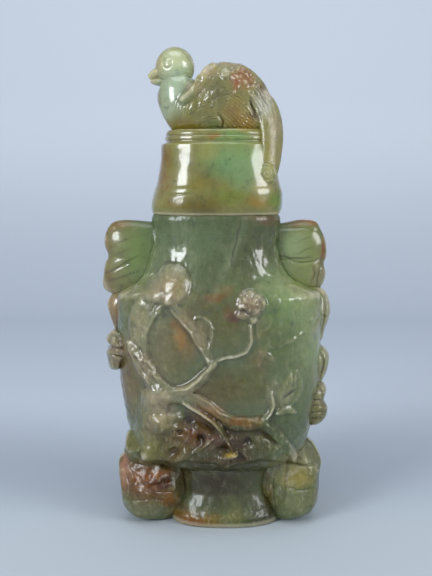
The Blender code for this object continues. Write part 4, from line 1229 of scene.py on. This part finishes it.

# %% [markdown]
# ## Veins, cracks and the lid's zones
# Cracks let water and iron into a stone, so thin brown lines run where it has healed. Each is a stroke with a
# half width in mm, a colour and a strength. Dark strokes also follow the carved veins of the handles, and the
# near-black strokes in the blossom's groove and the leaves' slot and the two dark strokes along the straps
# are painted shade. The lid was cut from a warmer, more olive end of the block.

# %% The veins of the vase
VASE_VEINS = (
    # course through places (x, z), half width in mm, colour, strength
    (((11.0, 138), (8.4, 130), (4.6, 120), (0.6, 112), (-3.0, 103)), 1.9, "9cac98", 0.40),
    (((8.8, 137.6), (8.6, 134), (7.4, 130.6), (7.0, 127), (5.4, 122), (4.6, 117)), 0.34, "14160e", 0.9),
    (((-50, 112.2), (-46, 114.2), (-41, 117.2), (-35.6, 119.9)), 0.34, "2e2818", 0.85),
    (((-49, 108.6), (-44, 110.2), (-38, 112.4), (-33, 113.6)), 0.34, "2e2818", 0.8),
    (((-46, 124.4), (-42, 126.6), (-38.4, 128)), 0.3, "4a4228", 0.7),
    (((-47, 119.6), (-42, 122), (-38, 123.4)), 0.3, "5c5434", 0.6),
    (((24.2, 121.6), (26.3, 119.8), (29, 119.6), (32.6, 118.8), (40.4, 119.2)), 0.42, "2c2a14", 0.9),
    (((34.6, 120.8), (37.6, 122.6), (40.8, 123.9)), 0.3, "4a4826", 0.75),
    (((33, 125), (37, 127.2), (42, 128.8)), 0.3, "5c5a34", 0.6),
    (((34, 130), (40, 132.4)), 0.3, "5c5a34", 0.5),
    (((40.2, 108), (41.6, 111), (41.2, 114), (42.4, 117)), 0.5, "5c3816", 0.85),
    (((44.8, 117.6), (45.8, 122), (45.6, 127)), 1.1, "84482c", 0.8),
    (((33.6, 136.4), (38, 136), (42.4, 134.2)), 1.1, "a8663c", 0.75),
    (((-50.6, 131), (-51.4, 126), (-50.4, 119.6)), 1.2, "80543a", 0.7),
    (((-52, 114), (-52.4, 108), (-50, 102.6)), 1.1, "6c4634", 0.7),
    (((-40.4, 77.6), (-37.6, 78.0), (-35, 77.4), (-32.4, 78.6)), 0.5, "4c160c", 0.95),
    (((-24.6, 100), (-22.6, 97), (-18.4, 94.4), (-14.6, 90), (-11, 84.8), (-8.4, 79)), 0.5, "544026", 0.6),
    (((-26.6, 95.6), (-29.6, 89), (-30, 81), (-27.4, 73.8), (-22.4, 68), (-15.6, 66.4), (-9.6, 69.4)), 0.6,
     "4c4426", 0.5),
    (((-24, 101.6), (-21.6, 100.4), (-19.6, 98.2)), 0.6, "3a2818", 0.7),
    # painted shade in the blossom's groove
    (((7.2, 97.8), (9.8, 98.8), (11.6, 97.4), (14.4, 97.8)), 0.7, "241412", 0.9),
    (((16.6, 102.2), (18.3, 103.8)), 0.9, "3a1e3a", 0.85),
    (((20.8, 96.6), (21.6, 93.4), (19.4, 90.2), (16, 90.2)), 0.35, "b0b494", 0.5),
    # these two dark strokes are painted shade along the straps' lower edges and in the crease between them
    (((-12, 58.6), (-6.4, 54.6), (0, 50.4), (4.4, 45)), 0.5, "3c2a1a", 0.6),
    (((-10, 56.8), (-2.4, 52.6), (4, 48.2), (13, 47.2), (19, 48)), 0.6, "3c2a18", 0.6),
    (((-27, 60), (-23, 55), (-21.4, 47), (-23, 39)), 0.7, "5c5432", 0.5),
    (((21.2, 62.6), (23, 58), (25.6, 55), (29.4, 58.6)), 0.4, "4c4424", 0.6),
    # painted shade in the slot across the curled leaves
    (((27, 60.2), (29.4, 61.8), (32.4, 63.6)), 0.5, "241c10", 0.8),
    (((30.4, 33), (29.6, 24), (28.6, 14), (26, 8)), 0.5, "4a4a30", 0.6),
    (((-42, 26), (-34, 25.4), (-28, 21.6), (-22, 20.4)), 0.6, "4c2816", 0.7),
    (((-38, 18), (-30, 19.4), (-24, 15)), 0.5, "a8784c", 0.5),
)
print(len(VASE_VEINS), "veins and cracks in the vase")

# %% The zones of the lid
LID_GROUND = "8c8f60"
LID_ZONES = (
    # the drum
    ((-25, 0, 162), (5, 40, 10), "8a6438", 0.9), ((-25, 0, 152), (6, 40, 6), "927858", 0.8),
    ((-24, 0, 144), (7, 40, 6), "96946c", 0.8), ((-14, 0, 158), (9, 40, 12), "949668", 0.7),
    ((3, 0, 160), (12, 40, 10), "84ae88", 0.95), ((10, 0, 156), (9, 40, 11), "8fae8c", 0.9),
    ((-5, 0, 165), (7, 40, 5), "a0a674", 0.8), ((12, 0, 165), (9, 40, 5), "90ae80", 0.8),
    ((-8, 0, 151), (8, 40, 5), "908a4c", 0.8), ((4, 0, 146), (10, 40, 5), "84964c", 0.8),
    ((-8, 0, 142), (13, 40, 5), "6c601c", 0.97), ((-18, 0, 143), (7, 40, 4), "847838", 0.8),
    ((18, 0, 151), (6, 40, 6), "b8b48e", 0.8), ((16, 0, 143), (6, 40, 3.6), "b09050", 0.7),
    ((25, 0, 144), (5, 40, 5), "74964a", 0.8), ((22, 0, 161), (6, 40, 8), "a8a878", 0.7),
    ((-18, 0, 171), (12, 40, 4), "908c68", 0.8), ((6, 0, 171), (10, 40, 4), "84a878", 0.75),
    ((-2, -16, 171.6), (4, 10, 1.8), "a07448", 0.7), ((18, 0, 171), (7, 40, 4), "98986c", 0.8),
    # the head and the breast
    ((-19, 0, 202), (12, 30, 9), "ccd9c6", 0.95), ((-27, 0, 204), (3, 30, 7), "bcb496", 0.7),
    ((-16, 0, 196), (7, 30, 6), "b0c8b8", 0.85), ((-30, 0, 197), (5, 30, 5), "ccccb8", 0.9),
    ((-20, 0, 191), (9, 30, 8), "b4c8be", 0.95), ((-22, 0, 183), (8, 30, 6), "b0c0b4", 0.9),
    ((-26.6, 0, 188), (2, 30, 4), "86705c", 0.6), ((-15, 0, 176), (12, 30, 4), "827438", 0.9),
    # the wing and the back
    ((-9.6, 0, 191.6), (5, 30, 4.4), "aca68c", 0.85), ((-5, 0, 198.4), (5, 30, 5), "b4a894", 0.85),
    ((-1, 0, 190.6), (6.0, 30, 6.4), "5c6038", 0.97), ((-6, 0, 182), (8, 30, 6), "7a7c4a", 0.85),
    ((2.4, -9, 197.6), (3.4, 10, 3.4), "909478", 0.8), ((3, 0, 202), (9, 30, 2.6), "a29a80", 0.8),
    ((10, 0, 195), (7, 30, 6.4), "9c6c50", 0.85), ((6.4, -8, 192.6), (1.6, 10, 5.4), "9c4638", 0.6),
    ((9, -8, 197.4), (4, 10, 2.0), "a0644a", 0.5), ((18, 0, 191.6), (3.4, 30, 3), "5a3426", 0.85),
    ((20, 0, 188.6), (3, 30, 2), "a47860", 0.7), ((6, 0, 182), (7, 30, 7), "96803e", 0.9),
    ((11, 0, 178), (7, 30, 6), "b0924c", 0.85), ((-3, 0, 176), (5, 30, 4), "5c7446", 0.8),
    # the narrow dark zone at x 14.4 is painted shade in the groove between wing and tail
    ((19.0, 0, 184.6), (5, 30, 8), "d0d6d6", 0.95), ((14.4, -8, 181), (1.4, 10, 3.4), "3c2a1a", 0.7),
    ((24, 0, 176), (4, 30, 8), "b0a894", 0.85), ((23, 0, 165), (6, 30, 9), "b4b080", 0.85),
    ((21, -14, 155), (4, 10, 5), "b4ba94", 0.7),
)
print(len(LID_ZONES), "zones of colour in the lid")

# %% [markdown]
# ## Painting the zones on
# The zones are mixed one over another for every point of the mesh, in the order of the tables, and kept as a
# colour attribute. Waves in three directions stir the places first. Thin veins follow strokes on the front
# and the sides.

# %% Store the colour of the stone
def painted(points, ground, zones, veins):
    """Linear RGBA for each point. A zone's share is full out to a quarter of its radii and gone at 1.25 times
    them. A vein's share falls as a bell across its course. Brown painted shade follows the depth of the
    bird's feather lines, with less of it on the tail."""
    stir = [1.3 * waves(points, 10, seed) + 0.8 * waves(points, 4, seed + 5) for seed in (71, 72, 73)]
    stirred = points + np.stack(stir, axis=1)
    colour = np.tile(np.array(linear(ground)), (len(points), 1))
    for middle, radii, tint, top in zones:
        away = np.linalg.norm((stirred - middle) / radii, axis=1)
        colour += (top * (1 - easing(away, 0.25, 1.25)))[:, None] * (linear(tint) - colour)
    waver = 0.25 * waves(points, 3, 76)
    x, z = points[:, 0] + waver, points[:, 2] + waver
    seen = points[:, 1] < 3
    for course, half_width, tint, top in veins:
        distance, share, _ = follow(x, z, course, 3 * half_width)
        bell = np.exp(-((distance / half_width) ** 2)) * np.sin(math.pi * np.clip(share, 0.05, 0.95)) ** 0.4
        colour += (top * seen * bell)[:, None] * (linear(tint) - colour)
    lines = -sum(feather_lines(points[:, 0], points[:, 2], *patch) for patch in PLUMAGE)
    # painted shade in the bird's feather grooves, darker where they are deeper
    feather_shade = np.clip(lines / 0.4, 0, 1) * above_plate(points) * (0.3 + 0.25 * waves(points, 5, 77))
    feather_shade *= 1 - 0.65 * easing(points[:, 0], 13, 17)
    return colour + feather_shade[:, None] * (linear("3a2c1a") - colour)


PAINTING = ((vase, VASE_GROUND, VASE_ZONES, VASE_VEINS), (drum, LID_GROUND, LID_ZONES, ()))
for piece, ground, zones, veins in PAINTING:
    points, _, _ = read_mesh(piece.data)
    layer = piece.data.attributes.new("stone", "FLOAT_COLOR", "POINT")
    layer.data.foreach_set("color", painted(points, ground, zones, veins).astype(np.float32).ravel())
    print(piece.name, "painted with", len(zones), "zones and", len(veins), "veins")

# %% [markdown]
# ## The polished stone
# The colour starts from the zones. Pale veils cross it, dark specks gather in patches, the crests of the
# carving are painted paler as painted highlights and the crevices darker brown as painted shade. The glassy
# skin is a coat with hardly any roughness.
# Some light goes through, and the rest of what enters is scattered softly, as in clouded glass. Clear glass
# would show the hollow inside, and paint alone would look dry.

# %% Add a node and lay a colour over another
MIX_FACTOR, MIX_FROM, MIX_TO, MIX_RESULT = 0, 6, 7, 2


def feed(tree, node, inputs):
    """Each input of a node gets a plain value, or a link from another node's output."""
    for socket, value in inputs.items():
        if isinstance(value, bpy.types.NodeSocket):
            tree.links.new(value, node.inputs[socket])
        else:
            node.inputs[socket].default_value = value


def add(tree, kind, inputs, **settings):
    """Adds a node with its inputs. The settings are the node's own properties."""
    node = tree.nodes.new(kind)
    for name, value in settings.items():
        setattr(node, name, value)
    feed(tree, node, inputs)
    return node


def tinted(tree, colour, tint, pattern, low, high, top=1.0, where=None):
    """A tint laid over a colour. Its share is a smooth step of the pattern, from zero at the low value to the
    top at the high one, times a second share where one is given."""
    step = {"Value": pattern, "From Min": low, "From Max": high, "To Max": top}
    share = add(tree, "ShaderNodeMapRange", step, interpolation_type="SMOOTHSTEP").outputs["Result"]
    if where is not None:
        share = add(tree, "ShaderNodeMath", {0: share, 1: where}, operation="MULTIPLY").outputs[0]
    layers = {MIX_FACTOR: share, MIX_FROM: colour, MIX_TO: linear(tint)}
    return add(tree, "ShaderNodeMix", layers, data_type="RGBA").outputs[MIX_RESULT]


print("the stone reads its stored stone, crest, relief and polish")

# %% The places that the patterns read
STIR_LUMPS, STIR_REACH = 8, 4


def stone_places(tree):
    """Object coordinates in millimetres, the same stirred by noise with lumps of 8 mm, and those drawn out
    upwards."""
    metres = add(tree, "ShaderNodeTexCoord", {}).outputs["Object"]
    larger = {0: metres, 1: (1000, 1000, 1000)}
    place = add(tree, "ShaderNodeVectorMath", larger, operation="MULTIPLY").outputs[0]
    lumps = {"Vector": place, "Scale": 1 / STIR_LUMPS, "Detail": 4.0, "Roughness": 0.55}
    stir = {0: add(tree, "ShaderNodeTexNoise", lumps).outputs["Color"], 1: (0.5, 0.5, 0.5)}
    centred = add(tree, "ShaderNodeVectorMath", stir, operation="SUBTRACT").outputs[0]
    spread = {0: centred, 1: (2 * STIR_REACH,) * 3, 2: place}
    stirred = add(tree, "ShaderNodeVectorMath", spread, operation="MULTIPLY_ADD").outputs[0]
    drawing = {"Vector": stirred, "Rotation": (0.3, 0.5, 0.2), "Scale": (1, 1, 0.22)}
    return place, stirred, add(tree, "ShaderNodeMapping", drawing).outputs[0]


print("the patterns are stirred by up to", STIR_REACH, "mm")

# %% The colour of the stone
def stone_colour(tree, place, stirred, drawn, raised):
    """The painted zones with clouds, mottling and veils over them, then frosting on the raised carving,
    painted highlights on the crests, painted shade in the crevices and dark specks. Each layer is a tint laid
    on by a smooth step of a pattern."""
    patterns = []
    for read_at, size_mm, detail, roughness in (
        (stirred, 13, 4.0, 0.6), (place, 3.2, 4.0, 0.65), (drawn, 6, 5.0, 0.6), (drawn, 1.7, 6.0, 0.72),
        (place, 16, 2.0, 0.5),
    ):
        lumps = {"Vector": read_at, "Scale": 1 / size_mm, "Detail": detail, "Roughness": roughness}
        patterns.append(add(tree, "ShaderNodeTexNoise", lumps).outputs["Fac"])
    cloudy, mottle, veil, frost, patch = patterns
    colour = add(tree, "ShaderNodeAttribute", {}, attribute_name="stone").outputs["Color"]
    for pattern, low, high, top, tint in (
        (cloudy, 0.54, 0.74, 0.18, "a8b498"), (cloudy, 0.46, 0.28, 0.26, "3c4228"),
        (mottle, 0.52, 0.80, 0.24, "c0c2a4"), (mottle, 0.48, 0.26, 0.40, "2c2c1a"),
        (veil, 0.60, 0.76, 0.3, "aebba2"),
    ):
        colour = tinted(tree, colour, tint, pattern, low, high, top)

    height = add(tree, "ShaderNodeSeparateXYZ", {"Vector": stirred}).outputs["Z"]
    step = {"Value": raised, "From Min": 0.6, "From Max": 2.4, "To Max": 0.30}
    carved = add(tree, "ShaderNodeMapRange", step, interpolation_type="SMOOTHSTEP").outputs["Result"]
    for pattern, low, high, tint in (
        (height, 50, 62, "bebab0"), (frost, 0.53, 0.66, "e6e4dc"), (frost, 0.47, 0.36, "3c3620"),
    ):
        colour = tinted(tree, colour, tint, pattern, low, high, where=carved)
    crest = add(tree, "ShaderNodeAttribute", {}, attribute_name="crest").outputs["Fac"]
    # painted highlights on the crests and painted shade, dark brown, in the crevices
    colour = tinted(tree, colour, "e2e0d6", crest, 0.6, 2.0, 0.50)
    colour = tinted(tree, colour, "46341f", crest, -0.35, -1.8, 0.55)

    speck = add(tree, "ShaderNodeTexVoronoi", {"Vector": stirred, "Scale": 1 / 3.4}).outputs["Distance"]
    step = {"Value": patch, "From Min": 0.58, "From Max": 0.66, "To Max": 0.7}
    in_patches = add(tree, "ShaderNodeMapRange", step, interpolation_type="SMOOTHSTEP").outputs["Result"]
    colour = tinted(tree, colour, "1c1510", speck, 0.13, 0.07, where=in_patches)

    warmth = {"Saturation": 1.2, "Value": 1.13, "Color": colour}
    colour = add(tree, "ShaderNodeHueSaturation", warmth).outputs["Color"]
    glow = {MIX_FACTOR: 1.0, MIX_FROM: colour, MIX_TO: linear("fff5de")}
    return add(tree, "ShaderNodeMix", glow, data_type="RGBA", blend_type="MULTIPLY").outputs[MIX_RESULT]


print("five layers of colour, three of frosting, two for the crests and one of specks")

# %% [markdown]
# ## The skin of the stone
# The powder leaves slanting scratches and the wheel leaves tiny facets. They are too fine to model, so a
# bump carries them, while everything larger is in the mesh.

# %% The skin of the stone
GRAIN, FACET = 0.9, 2.4


def stone_normal(tree, place, stirred, raised):
    """Grain of 0.9 mm, drawn a little coarse to show, less the slanting scratches of the powder, and over it
    the small facets of the cutting wheel, 2.4 mm across, where the carving is raised."""
    slant = {"Vector": place, "Rotation": (0, 0.7, 0), "Scale": (1, 1, 0.08)}
    strokes = add(tree, "ShaderNodeMapping", slant).outputs[0]
    lumps = {"Vector": place, "Scale": 1 / GRAIN, "Detail": 4.0, "Roughness": 0.6}
    grain = add(tree, "ShaderNodeTexNoise", lumps).outputs["Fac"]
    lines = {"Vector": strokes, "Scale": 1 / 0.5, "Detail": 2.0, "Roughness": 0.5}
    streaks = add(tree, "ShaderNodeTexNoise", lines).outputs["Fac"]
    step = {"Value": streaks, "From Min": 0.42, "From Max": 0.36}
    scored = add(tree, "ShaderNodeMapRange", step, interpolation_type="SMOOTHSTEP").outputs["Result"]
    level = add(tree, "ShaderNodeMath", {0: grain, 1: scored}, operation="SUBTRACT").outputs[0]
    fine = {"Height": level, "Strength": 0.08, "Distance": 0.0004}
    scratches = add(tree, "ShaderNodeBump", fine).outputs["Normal"]
    cells = {"Vector": stirred, "Scale": 1 / FACET}
    facets = add(tree, "ShaderNodeTexVoronoi", cells, feature="SMOOTH_F1").outputs[0]
    step = {"Value": raised, "From Min": 0.8, "From Max": 2.4, "To Max": 0.5}
    strength = add(tree, "ShaderNodeMapRange", step, interpolation_type="SMOOTHSTEP").outputs["Result"]
    cut = {"Height": facets, "Strength": strength, "Distance": 0.0008, "Normal": scratches}
    return add(tree, "ShaderNodeBump", cut).outputs["Normal"]


print("grain of", GRAIN, "mm and facets of", FACET, "mm")

# %% Put the stone together
def new_material(name):
    """A material, its node tree and its shader."""
    material = bpy.data.materials.new(name)
    material.use_nodes = True
    return material, material.node_tree, material.node_tree.nodes["Principled BSDF"]


def polished_fluorite(name):
    """Clouded glass under a clear coat. The polish is the coat's weight, and it lowers the roughness
    below."""
    material, tree, shader = new_material(name)
    place, stirred, drawn = stone_places(tree)
    raised, polish = [add(tree, "ShaderNodeAttribute", {}, attribute_name=name).outputs["Fac"]
                      for name in ("relief", "polish")]
    roughness = {"Value": polish, "From Min": 0.3, "From Max": 1.0, "To Min": 0.36, "To Max": 0.24}
    feed(tree, shader, {
        "Base Color": stone_colour(tree, place, stirred, drawn, raised),
        "Normal": stone_normal(tree, place, stirred, raised),
        "Roughness": add(tree, "ShaderNodeMapRange", roughness).outputs["Result"],
        "IOR": 1.434, "Transmission Weight": 0.45,
        "Subsurface Weight": 0.8, "Subsurface Scale": 0.006, "Subsurface Radius": (1.0, 1.1, 0.7),
        "Coat Weight": polish, "Coat Roughness": 0.08, "Coat IOR": 1.45,
    })
    return material


STONES = (
    (vase, "vase", "green_fluorite", polished_fluorite("polished green fluorite")),
    (drum, "lid", "olive_fluorite", polished_fluorite("polished olive fluorite")),
)
for piece, node, slot, stone in STONES:
    piece.data.materials.clear()
    piece.data.materials.append(stone)
    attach(piece, "root")
    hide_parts(node)
    print(piece.name, "is", stone.name, "of", len(stone.node_tree.nodes), "nodes")

# %% [markdown]
# ## The paper
# The urn stands on pale blue-grey paper that curves up behind it without an edge, so no line crosses the
# view. Its colour holds a band of painted shade across the floor from under the urn to just behind it, and
# painted light that makes it paler further back and up the wall.

# %% Set the paper sweep
WALL, WALL_TOP, FLOOR_END = 800.0, 1300.0, -900.0
BEND_RADIUS = 260.0
PAPER_HALF_WIDTH = 2400.0


def paper_sweep():
    """A profile carried sideways: flat floor, a quarter circle, then an upright wall."""
    bend = np.linspace(0, math.pi / 2, 24)
    curve = np.stack([WALL - BEND_RADIUS * (1 - np.sin(bend)), BEND_RADIUS * (1 - np.cos(bend))], axis=1)
    profile = np.vstack([[[FLOOR_END, 0.0], [0.0, 0.0]], curve, [[WALL, WALL_TOP]]])
    across = np.array([-PAPER_HALF_WIDTH, PAPER_HALF_WIDTH])
    grid = np.stack(np.broadcast_arrays(across[None, :], profile[:, :1], profile[:, 1:]), axis=-1) * MM
    index = np.arange(grid.shape[0] * 2).reshape(-1, 2)
    faces = np.stack([index[:-1, 0], index[:-1, 1], index[1:, 1], index[1:, 0]], axis=1)
    mesh = bpy.data.meshes.new("paper sweep")
    mesh.from_pydata(grid.reshape(-1, 3).tolist(), [], faces.tolist())
    mesh.shade_smooth()
    return into_scene("paper_sweep", mesh)


def matt_paper():
    """Blue-grey paper: its colour changes by smooth steps along the floor (Y) and up the wall (Z), in metres.
    The darker step is painted shade and the paler ones are painted light."""
    material, tree, shader = new_material("matt blue-grey paper")
    place = add(tree, "ShaderNodeTexCoord", {}).outputs["Object"]
    axes = add(tree, "ShaderNodeSeparateXYZ", {0: place}).outputs
    colour = linear("b1bbc3")
    # a band of painted shade just behind the urn, then painted light: paler further back and up the wall
    for axis, low, high, tint in (
        ("Y", -0.02, 0.05, "a6b0bc"), ("Y", 0.06, 0.22, "bec8d4"), ("Z", 0.02, 0.25, "dae1eb"),
    ):
        colour = tinted(tree, colour, tint, axes[axis], low, high)
    feed(tree, shader, {"Base Color": colour, "Roughness": 0.9, "Specular IOR Level": 0.15})
    return material


paper = paper_sweep()
paper.data.materials.append(matt_paper())
print("paper from", FLOOR_END, "to", WALL, "mm")

# %% [markdown]
# ## The light
# Two softboxes, one on each side in front, give the upright glints on the drum and the shoulders. A third one
# overhead lights the tops, and the surroundings give an even fill. Bare lamps would leave hard dots on
# polished stone.

# %% Set the lights
AIM_HEIGHT = 0.14


def softbox(name, azimuth, elevation, distance, size, power, tint):
    """An area light at so many degrees round from the front and up from the table, turned towards the urn."""
    turn, lift = math.radians(azimuth), math.radians(elevation)
    light = bpy.data.lights.new(name, "AREA")
    light.shape = "RECTANGLE"
    light.size, light.size_y = [side * MM for side in size]
    light.energy = power
    light.color = linear(tint)[:3]
    lamp = into_scene(name, light)
    away, up = math.cos(lift) * distance * MM, math.sin(lift) * distance * MM
    lamp.location = (math.sin(turn) * away, -math.cos(turn) * away, up + AIM_HEIGHT)
    lamp.rotation_euler = Euler((math.radians(90) - lift, 0, turn))


softbox("left softbox", -42, 18, 900, (310, 340), 4.8, "f6faff")
softbox("right softbox", 58, 18, 900, (360, 340), 3.2, "fbfdff")
softbox("overhead softbox", 0, 75, 900, (700, 500), 3.0, "f6faff")

world = bpy.data.worlds.new("studio fill")
world.use_nodes = True
feed(world.node_tree, world.node_tree.nodes["Background"], {"Color": linear("e4e6ea"), "Strength": 0.6})
bpy.context.scene.world = world
bpy.context.scene.view_settings.view_transform = "Standard"
print("three softboxes and the fill set")
